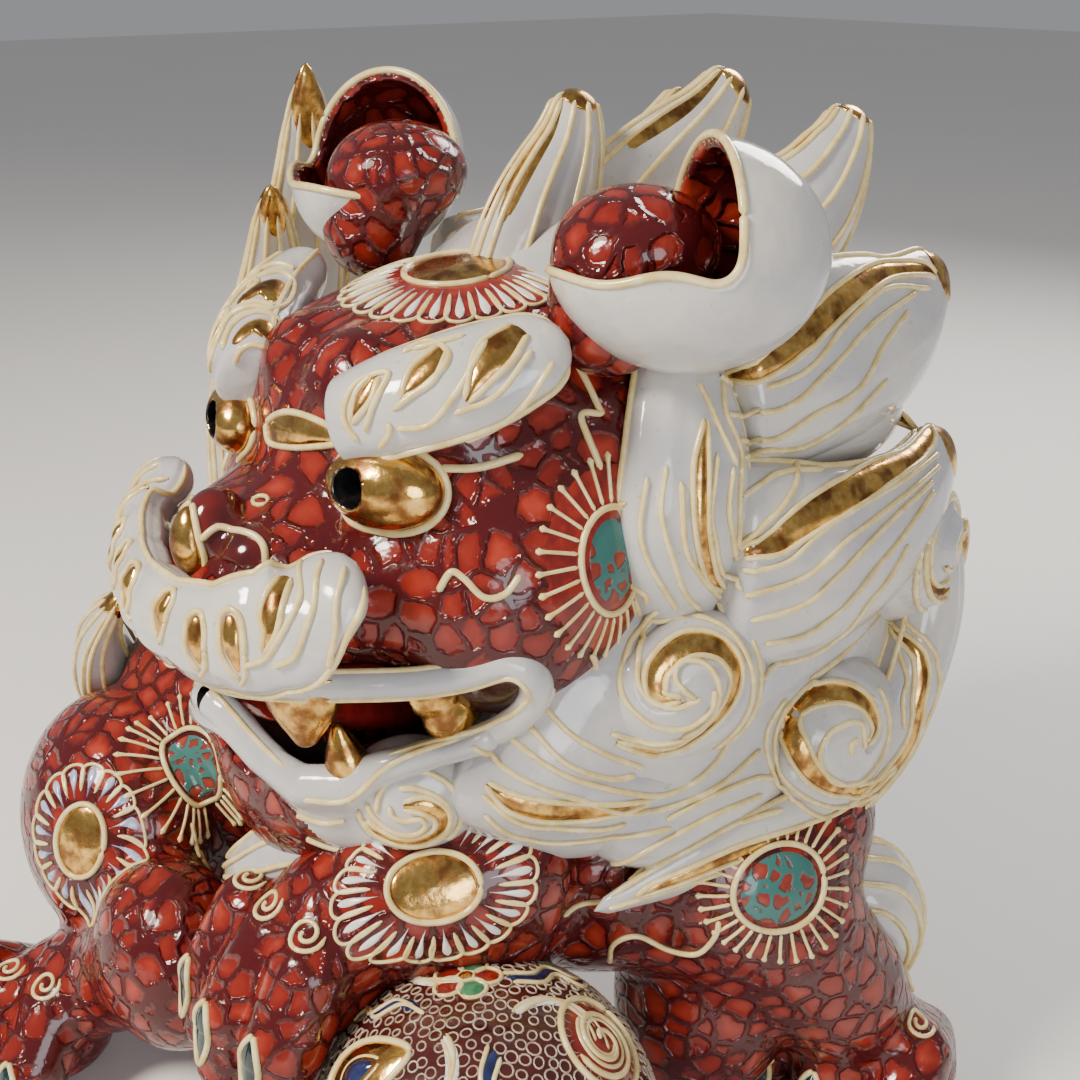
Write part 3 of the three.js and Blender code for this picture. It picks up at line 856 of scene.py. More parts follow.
def closed(points, n=48):
    """A closed smooth outline through the points."""
    points = np.asarray(points, float)
    m = len(points)
    around = np.concatenate([points[-2:], points, points[:2]])
    count = n * (m + 3) // m
    path = spline(around, (m + 3) * n // m + 1)
    step = (len(path) - 1) / (m + 3)
    return path[int(round(2 * step)) : int(round((m + 2) * step)) + 1]


class MoustacheLobe:
    def __init__(self, roll, u, s, raised):
        self.roll, self.u, self.s, self.raised = roll, u, s, raised

    def place(self, xy, lift=0.0):
        """x runs along the band away from the nose and y up it, both in millimetres."""
        xy = np.asarray(xy, float)
        u = self.u + self.s * xy[..., 0] / 128
        turn = math.pi * (0.5 - (xy[..., 1] + self.raised) * 0.034)
        return self.roll.at(u, turn, lift)

    def comma(self, size):
        outline = closed(np.array([(-0.5, 6.2), (2.2, 5.6), (3.0, 2.0), (1.6, -2.4), (-0.8, -6.8), (-2.6, -2.6), (-2.9, 2.4)]) * size)
        outline = outline * (self.s, 1)
        t = np.sin(np.linspace(0, math.pi / 2, 7))[:, None, None]
        middle = outline.mean(0)
        xy = middle + (outline - middle) * t
        xy[..., 0] *= self.s
        lift = 0.9 * np.sqrt(np.clip(1 - t[..., 0] ** 2, 0, 1)) - 0.1
        verts, faces = gridded(self.place(xy, np.broadcast_to(lift, xy.shape[:2])), around=True)
        return (verts, faces) if self.s > 0 else (verts, faces[:, ::-1])

    def curls(self, size):
        made = []
        for path, r in (
            ([(-1.6, -8.4), (-3.9, -4), (-4.1, 1.6), (-2.4, 6.2), (1.2, 7.6), (4.2, 5.4), (4.4, 1), (3, -3)], 0.62),
            ([(3, -3), (0.8, -7.6), (-2.5, -10.5)], 0.55),
        ):
            path = spline(np.array(path) * size, 40)
            here = self.place(path)
            out = unit(self.place(path, 1.0) - here)
            made.append(tube(here + out * 0.15, r, out))
        return made


def eyes_and_brows():
    eyeball = egg((27.5, -34, 18), (11.5, 7, 7.6), (0, 0, 30))
    shape = cut(eyeball, PUPILS, 0.5)
    mesh = skin(shape, (14, -48, 6), (46, -20, 28), 0.8)
    dark = PUPILS(face_centres(mesh)) < 0.25
    for side, made in (("left", mesh), ("right", flipped(mesh))):
        on_head(f"eye_{side}", made, [GOLD, PUPIL], "gilding", f"eye_{side}", which=dark)
    brow_ridge = Skin(skin(melt(1.5, eyeball, SKULL), (-16, -48, 4), (56, 0, 34), 1.0))
    rim = [(15.6, -36.4, 18.8), (18.3, -37, 13.2), (22, -37.5, 10.4), (28.5, -34, 9.8), (34.4, -30.2, 12),
           (36, -27.6, 16.4), (34.4, -26.6, 21), (30.5, -29, 23.6), (24.6, -33, 24.2), (18, -35.4, 22.4)]
    draw_both("head", "lines", brow_ridge.ring(rim, 0.8))
    draw_both("head", "lines", brow_ridge.line([(34, -26.5, 22), (38.5, -21, 22.2), (42, -14, 24)], 0.8))

    arch = [(17, -36, 28), (26.5, -30, 32.5), (37, -18.5, 38), (44.3, -5.5, 44)]
    brow = Lock(arch, [8.5, 9.8, 10, 6.8], [6.5, 8, 7.5, 5], (0.4, -0.7, 0.6), flutes=0, blunt=0.85)
    on_both("brow", brow.skin(70, 60), WHITE, "white_glaze", "brow")
    wave = [brow.line(math.pi * 0.97, 0.02, 0.96, 0.7, n=60), brow.line(math.pi * 0.03, 0.05, 0.97, 0.6, n=60)]
    draw_both("head", "lines", *wave)
    hairs = Skin(brow.skin(70, 60))
    for path in (
        [(28, -39, 28), (25, -40, 32), (25, -37, 37), (30, -34, 40), (30, -37, 34), (29, -38, 30)],
        [(33, -35, 34), (37, -30, 39), (37, -26, 43), (31, -26, 44), (29, -30, 42)],
        [(34, -35, 31), (38, -31, 32), (41, -27, 38), (40, -20, 45)],
        [(41, -28, 34), (45, -22, 37), (46, -15, 44)],
        [(31, -37, 27), (33, -36, 30), (33, -36, 32)],
        [(40, -25, 28), (45, -20, 32), (48, -12, 42)],
        [(30, -29, 43), (34, -25, 45), (36, -22, 46)],
    ):
        draw_both("head", "lines", hairs.line(path, 0.62))
    for path, halves in (
        ([(27, -40, 31), (28, -38, 36), (28, -35, 39)], [0.2, 1.8, 0.8]),
        ([(34, -34, 36), (35, -30, 40), (35, -25.5, 44)], [0.2, 2.5, 1.2]),
        ([(42, -26, 36), (42, -20, 43), (42, -14.5, 46.5)], [0.4, 3.2, 2]),
    ):
        gilt, edges = hairs.band(path, halves)
        draw_both("head", "gilding", gilt)
        draw_both("head", "lines", *edges)
    # the side of the right brow that faces the middle
    for u, tall in ((0.16, 1.1), (0.46, 1.15)):
        blob = [(-2, 6), (2, 6.5), (3.4, 2.5), (1.5, -2.5), (-2, -6), (-3.6, -4), (-1.5, 0), (-3, 3)]
        hook = [(-6, -8), (-5, -1), (-5, 5), (-1, 8.5), (4, 7.5), (5.5, 2), (3, -5), (-2, -9)]
        marks = [brow.squiggle(u, 0.2, path, tall) for path in (hook, [(8, 5), (8, -2), (4, -9)])]
        draw("head", "gilding", flipped(brow.spot(u, 0.2, blob, tall)), at=HEAD)
        draw("head", "lines", *(flipped(mark) for mark in marks), at=HEAD)
    bar = [(-8, -38, 22), (-6, -39, 19), (2, -39, 20), (10, -38, 22), (16, -36, 24), (15, -36, 26), (8, -37, 27), (-1, -38, 26)]
    draw("head", "gilding", brow_ridge.patch(bar, 1.2), at=HEAD)
    draw("head", "lines", brow_ridge.ring(bar, 0.7), at=HEAD)


EAR_TURN = (-14, -17.2, 49.9)
EARS = (("left", 1, (51.6, 15.6, 57.5)), ("right", -1, (-53, 17.5, 61.5)))


def ears():
    """Deep cups, white outside, with a red hollow and a red swelling that stands out of it."""
    radii = np.array([25, 18.6, 21])
    outer = egg((0, 0, 0), radii, EAR_TURN)
    axes = rotation(EAR_TURN)

    def brim(p):
        """Above zero where the cup is open: a notch whose floor and side meet in a round corner."""
        u, w, v = (p @ axes).T
        floor = v + 3.4 - 0.25 * w + 0.9 * np.sin(0.3 * u)
        return soft_min(floor, 2.7 - u - 0.25 * w, 6)

    hollow = egg((0, 0, 0), radii - 2.6, EAR_TURN)
    cup = cut(cut(outer, hollow, 1), lambda p: -brim(p), 1.2)
    mesh = skin(cup, (-30, -30, -28), (30, 30, 28), 1.1)
    red = outer(face_centres(mesh)) < -0.9
    lobe = melt(7, egg((-11.5, -2, 0), (15.5, 15, 11)), egg((-11, -9, -11), (11, 11, 12)))
    swelling = skin(lobe, (-34, -28, -30), (12, 20, 18), 1.1)
    rim = tube(*traced(outer, brim, (20, 0, 10)))
    for side, s, at in EARS:
        turned = flipped if s < 0 else (lambda m: m)
        verts, faces = turned(mesh)
        on_head(f"ear_{side}", (verts + at, faces), [WHITE, RED], "white_glaze", f"ear_{side}", which=red)
        verts, faces = turned(swelling)
        on_head(f"ear_lobe_{side}", (verts + at, faces), RED, "red_enamel", f"ear_lobe_{side}")
        draw("head", "lines", turned(rim), at=HEAD + at)


def traced(shape, brim, start, step=0.7):
    """Follows the edge where a shape meets its brim all the way round."""
    def settle(p):
        for _ in range(6):
            p = press(brim, p, rounds=1)[0]
            p = press(shape, p, rounds=1)[0]
        return p

    p = settle(np.array([start], float))
    path = [p[0]]
    while len(path) < 20 or (np.linalg.norm(path[-1] - path[0]) > 1.2 * step and len(path) < 400):
        along = unit(np.cross(slope(shape, p)[0], slope(brim, p)[0]))
        p = settle(p + along * step)
        path.append(p[0])
    path = np.array(path + path[:1])
    out = unit(unit(slope(shape, path)[0]) + unit(slope(brim, path)[0]))
    return path - out * 0.2, 0.85, out


# ------------------------------------------------------------------------------- hair
def mane_cap():
    mesh = skin(CAP, (-64, -34, -68), (64, 88, 64), 1.8)
    on_head("mane_cap", mesh, WHITE, "white_glaze", "mane_cap")
    HAIR.append(mesh)
    # combed lines from the edge of the face to the back of the head
    for i in range(44):
        a = 2 * math.pi * i / 44
        t = np.linspace(0.08, 0.97, 60)
        sweep = math.pi * t
        bend = a + 0.28 * np.sin(2.5 * t + i)
        y = 34 - 44 * np.cos(sweep)
        r = 44 * np.sin(sweep)
        path = np.stack([r * np.sin(bend) * 1.2, y, -8 + r * np.cos(bend) * 1.3], 1)
        places, out = press(CAP, path, LINE_R * 0.3)
        start = np.argmax((places[:, 1] > 44) | ((places[:, 1] > 20) & (places[:, 2] > 46)))
        draw("mane", "lines", tube(places[start:], LINE_R, out[start:]), at=HEAD)


class Hair:
    """A white lock with its cream lines and gilt strokes, drawn once for each side where it has a twin."""

    def __init__(self, name, lock_shape, node=None, both=True, group="mane", front=5, back=3, tip=True, strokes=()):
        place = HEAD if group != "body" else np.zeros(3)
        parts = lock_shape.lines(front, n=40) if front else []
        parts += [lock_shape.line(math.pi * (1 + (i + 0.5) / back)) for i in range(back)]
        parts += [lock_shape.line(0.0, 0.03, 0.97, 0.7), lock_shape.line(math.pi, 0.03, 0.97, 0.7)]
        gilt = [lock_shape.stroke(math.pi * turn, half, u0, u1, bend=bend) for turn, half, u0, u1, bend in strokes]
        if tip:
            gilt.append(lock_shape.tip_cap())
        mirror = [False, True] if both else [False]
        for mirrored_too in mirror:
            turned = flipped if mirrored_too else (lambda m: m)
            side = ("_right" if mirrored_too else "_left") if both else ""
            verts, faces = turned(lock_shape.skin())
            node_name = (f"{node}{side}",) if node else ()
            if not mirrored_too:
                HAIR.append((verts, faces))
            add(f"{name}{side}", (verts + place, faces), WHITE, "white_glaze", node_name)
            draw(group, "lines", *(turned(part) for part in parts), at=place)
            draw(group, "gilding", *(turned(part) for part in gilt), at=place)


def mane():
    crest = [(0, 18, 38), (0, 24, 56), (0, 30, 70), (0, 32, 81)]
    Hair("crest_flame_front", flame(crest, 12.5, 7, (1, 0, 0)), "crest_flame_front", both=False,
         strokes=[(0.10, 0.34, 0.25, 0.99, 0.0), (-0.10, 0.34, 0.25, 0.99, 0.0)])
    crest = [(0, 40, 44), (0, 55, 58), (0, 68, 70), (0, 77.5, 81.5)]
    Hair("crest_flame_back", flame(crest, 17, 7, (1, 0, 0)), "crest_flame_back", both=False,
         strokes=[(0.14, 0.36, 0.3, 0.99, 0.0), (-0.14, 0.36, 0.3, 0.99, 0.0)])
    top = flame([(22, 56, 44), (25, 73, 56), (26, 82, 67), (25, 87, 76)], 12.5, 7, (1, 0, 0.4))
    Hair("mane_flame_top", top, "mane_flame_top", strokes=[(0.06, 0.3, 0.5, 0.99, 0.0), (0.96, 0.2, 0.7, 0.99, 0.0)])
    upper = flame([(46, 30, 30), (50, 52, 32), (50, 75, 35.5), (47, 92, 46)], 17, 8, (1, 0.2, 0.2))
    upper.widths = [20, 19, 18, 13.5, 5]
    Hair("mane_flame_upper", upper, "mane_flame_upper", front=0)
    middle = flame([(54, 22, -4), (60, 46, -6), (61, 70, -1), (56, 88, 11)], 19, 8, (1, 0.2, 0))
    middle.widths = [22, 21, 18, 13.5, 6]
    Hair("mane_flame_middle", middle, "mane_flame_middle", front=0)
    temple = Lock([(42, 22, 40), (51, 17, 24), (54.5, 14, 6), (53, 15, -15)], [7, 12, 13, 6], [5, 6, 6, 3], (1, -0.3, 0))
    Hair("temple_lock", temple, "temple_lock", front=0, tip=False)

    # locks that only the back and the far side show
    more = [
        ("nape_flame", [(34, 66, 22), (37, 78, 12), (39, 84, 16), (38, 88, 27)], 13, (0.8, 0.7, 0)),
        ("shoulder_flame", [(40, 58, -26), (46, 72, -34), (48, 80, -28), (46, 84, -16)], 13, (0.9, 0.5, 0)),
        ("back_flame", [(14, 72, 24), (16, 80, 38), (17, 86, 48), (15, 91, 58)], 12, (0.5, 1, 0)),
        ("collar_flame", [(20, 62, -34), (24, 74, -36), (26, 80, -28), (24, 84, -16)], 12, (0.3, 1, 0)),
    ]
    for name, points, wide, face in more:
        Hair(name, flame(points, wide, 6, face), strokes=[(0.5, 0.2, 0.35, 0.95, 0.0)])
    spine = [("back_flame_middle", [(0, 76, 6), (0, 82, 18), (0, 86, 28), (0, 89, 40)], 12),
             ("collar_flame_middle", [(0, 72, -26), (0, 80, -22), (0, 85, -12), (0, 88, 0)], 12)]
    for name, points, wide in spine:
        Hair(name, flame(points, wide, 6, (0, 1, 0)), both=False, strokes=[(0.5, 0.2, 0.35, 0.95, 0.0)])


def winding(start, stop, r0, r1, sense, n=90):
    """A spiral from one angle to another, in degrees, with its sense: 1 where it runs anticlockwise."""
    t = np.linspace(0, 1, n)
    turn = np.radians(start + sense * (stop - start) * t)
    r = r0 + (r1 - r0) * t
    return np.stack([r * np.cos(turn), r * np.sin(turn)], 1), t


def curl(sheet, radius, start, sense):
    """A rolled curl: a gilt band that winds out to a point between coils of white."""
    band, t = winding(start, start + 400, 0.36 * radius, 1.04 * radius, sense)
    away = unit(band)
    half = radius * 0.19 * np.clip(1 - t, 0, 1) ** 0.7 * np.clip(t / 0.06, 0, 1) ** 0.5
    steps = np.linspace(-1, 1, 9)[None, :, None]
    xy = band[:, None] + away[:, None] * half[:, None, None] * steps
    lift = 0.5 * (1 - steps[..., 0] ** 2) - 0.1
    verts, faces = gridded(sheet.lay(xy, np.broadcast_to(lift, xy.shape[:2]))[0])
    draw_both("mane", "gilding", (verts, faces if sense < 0 else faces[:, ::-1]))
    hook, _ = winding(start + 40, start + 300, 0.08 * radius, 0.30 * radius, sense)
    ring, _ = winding(start + 60, start + 380, 0.86 * radius, 1.12 * radius, sense)
    edges = [band - away * half[:, None], band + away * half[:, None]]
    draw_both("mane", "lines", *(sheet.line(path, 0.72, smooth=False) for path in (*edges, hook, ring)))


def relief(shape, sheet, radius, start, sense, height=1.6):
    """The shape with the white coils of a curl raised on it."""
    path, _ = winding(start + 150, start + 590, 0.10 * radius, 0.98 * radius, sense)

    def distance(p):
        base = shape(p)
        near = (np.abs(base) < 4) & ((p - sheet.at) @ sheet.out > -radius * 0.9)
        q = p[near] - sheet.at
        xy = np.stack([q @ sheet.right, q @ sheet.up], 1)
        away = np.full(len(xy), 1e9)
        for spot in path[::2]:
            away = np.minimum(away, np.hypot(*(xy - spot).T))
        base[near] -= height * np.clip(1 - (away / (radius * 0.2)) ** 2, 0, 1)
        return base

    return distance


# Seen from the left, in y and z: where the gilding of the side hair runs and how wide it is to each side
SIDE_BANDS = {
    "cheek_curl": [(-4, -31, 0.3), (5, -35, 1), (11, -32, 1.1), (17, -26, 1.6), (19, -20, 1.9), (16, -15, 2.3),
                   (10, -13.5, 2.5), (4, -17, 2.3), (3, -22, 1.7), (7, -23, 0.5)],
    "jaw_tuft": [(54, -46, 0.8), (57, -43, 1.6), (54, -37, 2), (47, -34, 2.4), (40, -38, 2.7), (38, -44, 2.4),
                 (41, -50, 2), (48, -55, 1.6), (57, -58, 1.4), (66, -56, 0.4)],
    "beard_leaf": [(-26, -37, 0.4), (-22, -41, 2.1), (-13, -44, 2.3), (-2, -45, 1), (3, -45, 0.2)],
    "jaw_lock": [(74, -29, 0.4), (74.5, -34, 1.6), (73, -42, 1.9), (69, -53, 2.2), (52, -62.5, 2.6), (39, -62.5, 2.2),
                 (21, -62, 1.8), (6, -65, 1.3), (1, -67, 0.2)],
    "mane_flame_upper": [(29, 32, 0.6), (32, 35, 2.1), (42, 40, 2.7), (53, 45, 2.7), (68, 48, 2.1), (80, 47, 1.6), (84, 45, 0.6)],
    "mane_flame_middle": [(22, 1, 0.4), (29, 4, 2.6), (38, 8, 3.2), (55, 11.5, 3.2), (76, 14, 2.4), (85, 14, 0.8)],
    "temple_lock": [(17, 28, 0.4), (14, 20, 1.6), (13, 9, 1.4), (16, -1, 1.2), (21, -6, 0.4)],
}
# the same for the cream lines: the temple lock, the two side flames, the cheek curl, the long sweeps
# under it, the jaw curl, the beard curl and the lower lip
SIDE_LINES = [
    [(2, 14), (1, 6), (4, -3), (6, -6)],
    [(5, 19), (3, 10), (4, 4), (7, -2), (11, -8)],
    [(8, 21), (6, 12), (9, 1), (12, -5), (16, -9)],
    [(10, 18), (10, 6), (14, -1), (21, -8)],
    [(18, 22), (15, 12), (16, 6), (18, 0), (22, -5)],
    [(21, 19), (19, 12), (20, 6), (22, 1)],
    [(18, 34), (19, 30), (20, 25), (22, 19)],
    [(24, 33), (22, 28), (24, 21), (22, 13), (22, 3)],
    [(24, 34), (29, 29), (40, 33), (51, 40), (66, 45), (81, 43)],
    [(22, 28), (35, 27), (45, 32), (58, 39), (76, 43)],
    [(24, 23), (34, 21), (44, 25), (54, 28), (64, 36), (72, 40)],
    [(24, 20), (40, 18), (50, 21), (64, 28)],
    [(23, 13), (34, 15), (44, 14)],
    [(22, 3), (26, 7), (33, 11), (42, 15)],
    [(22, -1), (30, 0), (42, 6), (60, 9), (77, 11)],
    [(22, -6), (33, -4), (45, 2), (63, 7), (76, 9)],
    [(23, -11), (35, -9), (46, -2), (60, 4), (72, 7)],
    [(27, -17), (38, -16), (50, -8), (64, 1), (72, 5)],
    [(26, -24), (43, -23), (54, -13), (63, -4)],
    [(10, -23), (5, -24.5), (0.5, -21), (1.5, -16), (8, -10.5), (18, -11.5), (22.5, -20), (22, -30), (16, -37)],
    [(9, -23), (6, -19), (8, -16), (12, -17), (14, -22), (12, -28), (7, -31)],
    [(8, -8), (2, -14), (-2, -21), (1, -27), (7, -29), (12, -26), (13, -22)],
    [(-5, -29), (2, -32), (9, -31), (13, -28)],
    [(21, -9), (25, -18), (25, -30), (20, -41), (8, -45), (-4, -41), (-15, -35), (-21, -28)],
    [(-18, -26), (-14, -33), (-6, -38), (0, -39)],
    [(-15, -23), (-12, -28), (-6, -33), (2, -38)],
    [(-28, -29), (-22, -35), (-12, -41), (0, -47), (16, -47), (31, -43)],
    [(-27, -39), (-20, -46), (-8, -49), (-2, -49)],
    [(-27, -43), (-18, -51), (-6, -52), (7, -52)],
    [(4, -62), (9, -59), (20, -56), (34, -56)],
    [(-2, -60), (4, -55), (16, -52), (30, -52)],
    [(6, -50), (16, -48), (28, -48), (34, -50)],
    [(75, -27), (78, -34), (79, -43), (72, -57), (52, -67), (28, -66), (12, -66), (-4, -69)],
    [(72, -33), (71, -38), (69, -42), (68, -48)],
    [(58, -38), (52, -33), (44, -33), (37, -39), (35, -47), (40, -55), (50, -60), (61, -61)],
    [(52, -46), (51, -40), (44, -40), (41, -45), (45, -52), (52, -54), (59, -51), (62, -45), (60, -36)],
    [(38, -34), (33, -41), (34, -50), (40, -58), (50, -63), (60, -64)],
    [(48, -46), (48, -44), (50, -43)],
]
# on the beard curl itself, x to the right and y up from its middle
BEARD_BAND = [(-1, 2.5, 0.8), (3, 2.5, 1.7), (6.2, 0, 1.6), (6, -3.5, 1.3), (2, -6.2, 1.3), (-3, -6.3, 1.2), (-7.5, -4.2, 1.1), (-9.5, -2, 0.3)]
BEARD_LINES = [
    [(-3.7, 2.4), (-3.2, 0.3), (-1, -0.7), (2, -0.3), (3, -2), (1, -4), (-2.5, -3.9), (-7, -0.8), (-9.3, 2.4)],
    [(-2, 6.2), (2, 6), (6.5, 3.5), (8.3, -0.5), (7, -5.5), (2, -8.3), (-4, -7.8), (-9.3, -5), (-12, 0)],
    [(-6.4, 0.5), (-6, 4.5), (-3.5, 9), (1, 10.6), (6.5, 9), (10, 5), (11.4, 0), (10.5, -5), (8, -8)],
]


def grooved(shape, band):
    """The shape with a shallow valley for the gilding along a band."""
    path = spline(band, 50)

    def distance(p):
        base = shape(p)
        near = (np.abs(base) < 4) & (p[:, 0] > 0)
        q = p[near]
        depth = np.zeros(len(q))
        for y, z, half in path:
            depth = np.maximum(depth, 1 - ((q[:, 1] - y) ** 2 + (q[:, 2] - z) ** 2) / (1.3 * half + 0.9) ** 2)
        base[near] += 1.1 * depth
        return base

    return distance


def curls():
    for name, at, radii, turn in (
        ("cheek_curl", (57, 14.5, -25), (9, 17.5, 15.5), (0, 0, -10)),
        ("jaw_tuft", (61, 54, -48.5), (10, 19, 18), (0, 0, 8)),
    ):
        shape = grooved(egg(at, radii, turn), SIDE_BANDS[name])
        low, high = np.array(at) - max(radii) - 3, np.array(at) + max(radii) + 3
        mesh = skin(shape, low, high, 1.0)
        HAIR.append(mesh)
        on_both(name, mesh, WHITE, "white_glaze", name)

    at, turn = np.array([30, -32, -44.5]), (0, 0, -38)
    disc = egg(at, (9, 13.5, 12), turn)
    mesh = skin(disc, at - 17, at + 17, 1.0)
    on_both("beard_tuft", mesh, WHITE, "white_glaze", "beard_tuft")
    front, sheet = Skin(mesh), Sheet(disc, at + 9 * rotation(turn)[:, 0])

    def placed(path):
        return np.array([sheet.at + x * sheet.right + y * sheet.up for x, y, *_ in path])

    gilt, edges = front.band(placed(BEARD_BAND), [half for _, _, half in BEARD_BAND])
    draw_both("head", "gilding", gilt)
    draw_both("head", "lines", *edges, *(front.line(placed(path), 0.62) for path in BEARD_LINES))

    at, radii, turn = (53, 79, -12), (13, 17, 18), (0, 0, 18)
    disc = egg(at, radii, turn)
    sheet = Sheet(disc, np.array(at) + rotation(turn)[:, 0] * radii[0])
    sheet.shape = relief(disc, sheet, 14.5, 60, -1)
    mesh = skin(sheet.shape, np.array(at) - 21, np.array(at) + 21, 1.1)
    HAIR.append(mesh)
    on_both("back_curl", mesh, WHITE, "white_glaze", "back_curl")
    curl(sheet, 14.5, 60, -1)

    band = Lock(
        [(57, 86, -4), (60, 83, -31), (62, 67, -55), (62, 43, -64), (60, 17, -65), (54, -6, -70)],
        [5, 9, 10, 11, 8, 1.6], [6, 7, 7, 6, 4, 1.2], (1, 0, -0.3), blunt=0.97,
    )
    Hair("jaw_lock", band, front=0, tip=False)
    leaf = Lock(
        [(35, -27, -41), (45, -16, -45), (53, -3, -48), (58, 14, -47)],
        [9, 12, 12, 4], [6, 6, 5, 3], (1, -0.4, -0.3), blunt=0.97,
    )
    Hair("beard_leaf", leaf, front=0, tip=False)


def side_hair():
    """The lines and the gilding that run over the hair of each side."""
    side = Skin(joined([(verts, faces) for verts, faces in HAIR]))
    for line in SIDE_LINES:
        draw_both("mane", "lines", side.line(side.from_side(line), 0.62))
    for band in SIDE_BANDS.values():
        band = np.array(band, float)
        gilt, edges = side.band(side.from_side(band[:, :2]), band[:, 2])
        draw_both("mane", "gilding", gilt)
        draw_both("mane", "lines", *edges)


def inside_the_mouth():
    spine = [(0, 2, -46), (0, -22, -38), (0, -42, -31), (0, -52, -30)]
    tongue = Lock(spine, [10, 16, 15, 9], [5, 6, 5, 3], (0, 0, 1), flutes=0)
    on_head("tongue", tongue.skin(), TONGUE_RED, "red_enamel", "tongue")
    upper = Lock([(21, -50, -15), (22, -50.5, -23), (23, -50.5, -31)], [10, 8, 1.5], [5, 4.5, 1.5], (0.3, -1, 0), flutes=0)
    lower = Lock([(25, -42, -42), (25, -43.5, -35), (24.5, -45, -27)], [5, 4.4, 0.8], [4, 3.8, 0.8], (0.3, -1, 0), flutes=0)
    on_both("upper_fang", upper.skin(), GOLD, "gilding", "upper_fang")
    on_both("lower_fang", lower.skin(), GOLD, "gilding", "lower_fang")
    tooth = melt(1, egg((37, -31, -20), (4.5, 5.5, 5)), egg((38, -28, -25), (4, 6, 5)))
    on_both("cheek_tooth", skin(tooth, (28, -42, -36), (46, -18, -12), 0.8), GOLD, "gilding", "cheek_tooth")


# ------------------------------------------------------------------------------- body
def paw(at, heading, size=1.0, droop=0.0):
    c, s = math.cos(math.radians(heading)) * size, math.sin(math.radians(heading)) * size
    toes, tips = [], []
    for k in (-1, 0, 1):
        reach = 15 - 3 * abs(k)
        line = [(-8, 8.5 * k, 4), (reach * 0.4, 13 * k, 10 - droop * 0.2), (reach, 14.5 * k, 2 - droop * 0.6)]
        line.append((reach + 4, 14.5 * k, -5 - droop))
        line = [(at[0] + a * c - b * s, at[1] + a * s + b * c, at[2] + up) for a, b, up in line]
        toes.append(limb(line, [7, 8.6, 8.6, 6]))
        tips.append(np.array(line))
    pad = egg(at, (17 * size, 19 * size, 13), (0, 0, heading))
    return melt(2.2, pad, *toes), tips


PAWS = {
    "paw_front_left": paw((83, 74, 10), -82, 1.1),
    "paw_front_right": paw((32, -46, 60), -92, 0.95, 10),
    "paw_hind_right": paw((-48, -76.8, 10), -75),
    "paw_hind_left": paw((-50, 60, 10), 20),
}
TRUNK = melt(
    12,
    egg((41, 24, 71), (34, 43, 31), (0, 0, -37)),
    egg((0, 4, 72), (52, 38, 32), (0, 0, 8)),
    egg((-52, -6, 70), (42, 38, 37), (0, 0, 6)),
)
FORE_LEFT = melt(8, egg((63, 36, 66), (24, 24, 23)), egg((68, 54, 74), (20, 22, 21)), egg((62, 38.5, 31), (20, 20, 28)),
                 limb([(66, 36, 72), (76, 46, 56), (82, 60, 36), (83, 72, 14)], [19, 18.5, 16, 14.5]))
FORE_RIGHT = melt(8, egg((42, -12, 70), (23, 22, 24)),
                  limb([(52, -10, 82), (42, -28, 76), (36, -38, 70), (32, -46, 60)], [15, 17, 16, 12]))


def hind_leg(s):
    def out(distance):
        return distance * s - 10

    shin = [(-20, out(47), 36), (-32, out(53), 26), (-44, out(61), 20), (-50, out(67), 12)]
    thigh = egg((-54, out(36), 52), (32, 26, 33), (0, 0, 10 * s))
    return melt(6, thigh, egg((-11, out(46), 42), (21, 17, 22)), limb(shin, [13, 13, 12, 10.5]))


LIMBS = {
    "trunk_shell": TRUNK,
    "front_leg_left": FORE_LEFT,
    "front_leg_right": FORE_RIGHT,
    "hind_leg_left": hind_leg(1),
    "hind_leg_right": hind_leg(-1),
    **{name: shape for name, (shape, _) in PAWS.items()},
}
BODY = above_ground(melt(4.5, *LIMBS.values()))


def body():
    """One skin over the trunk, legs and paws, parted where the real castings are luted together."""
    step = 1.9
    verts, faces = net(BODY, (-106, -106, -3), (112, 106, 112), step)
    verts, faces = finer(verts, faces)
    verts, normals = press(BODY, verts, rounds=3)
    middle = verts[faces].mean(1)
    owner = np.argmin(np.stack([shape(middle) for shape in LIMBS.values()]), 0)
    for i, name in enumerate(LIMBS):
        mine = faces[owner == i]
        used, index = np.unique(mine, return_inverse=True)
        mesh = (verts[used], index.reshape(-1, 4))
        add(name, mesh, RED, "red_enamel", (name,), normals=normals[used])


def claws():
    for name, (_, tips) in PAWS.items():
        for line in tips:
            way = unit(line[3] - line[1]) * (1, 1, 0)
            front = Sheet(BODY, line[2] + way * 9 + (0, 0, -2))
            shape = closed([(0, 7.4), (2.6, 3), (2.5, -2), (0, -7), (-2.5, -2), (-2.6, 3)])
            draw("body", "claws", front.patch(shape, 0.7))
            draw("body", "lines", front.line(shape))
            top = Sheet(BODY, line[1] + (0, 0, 9), way)
            draw("body", "lines", top.line(coil(1.6, 0.5, 4.0), 0.5))


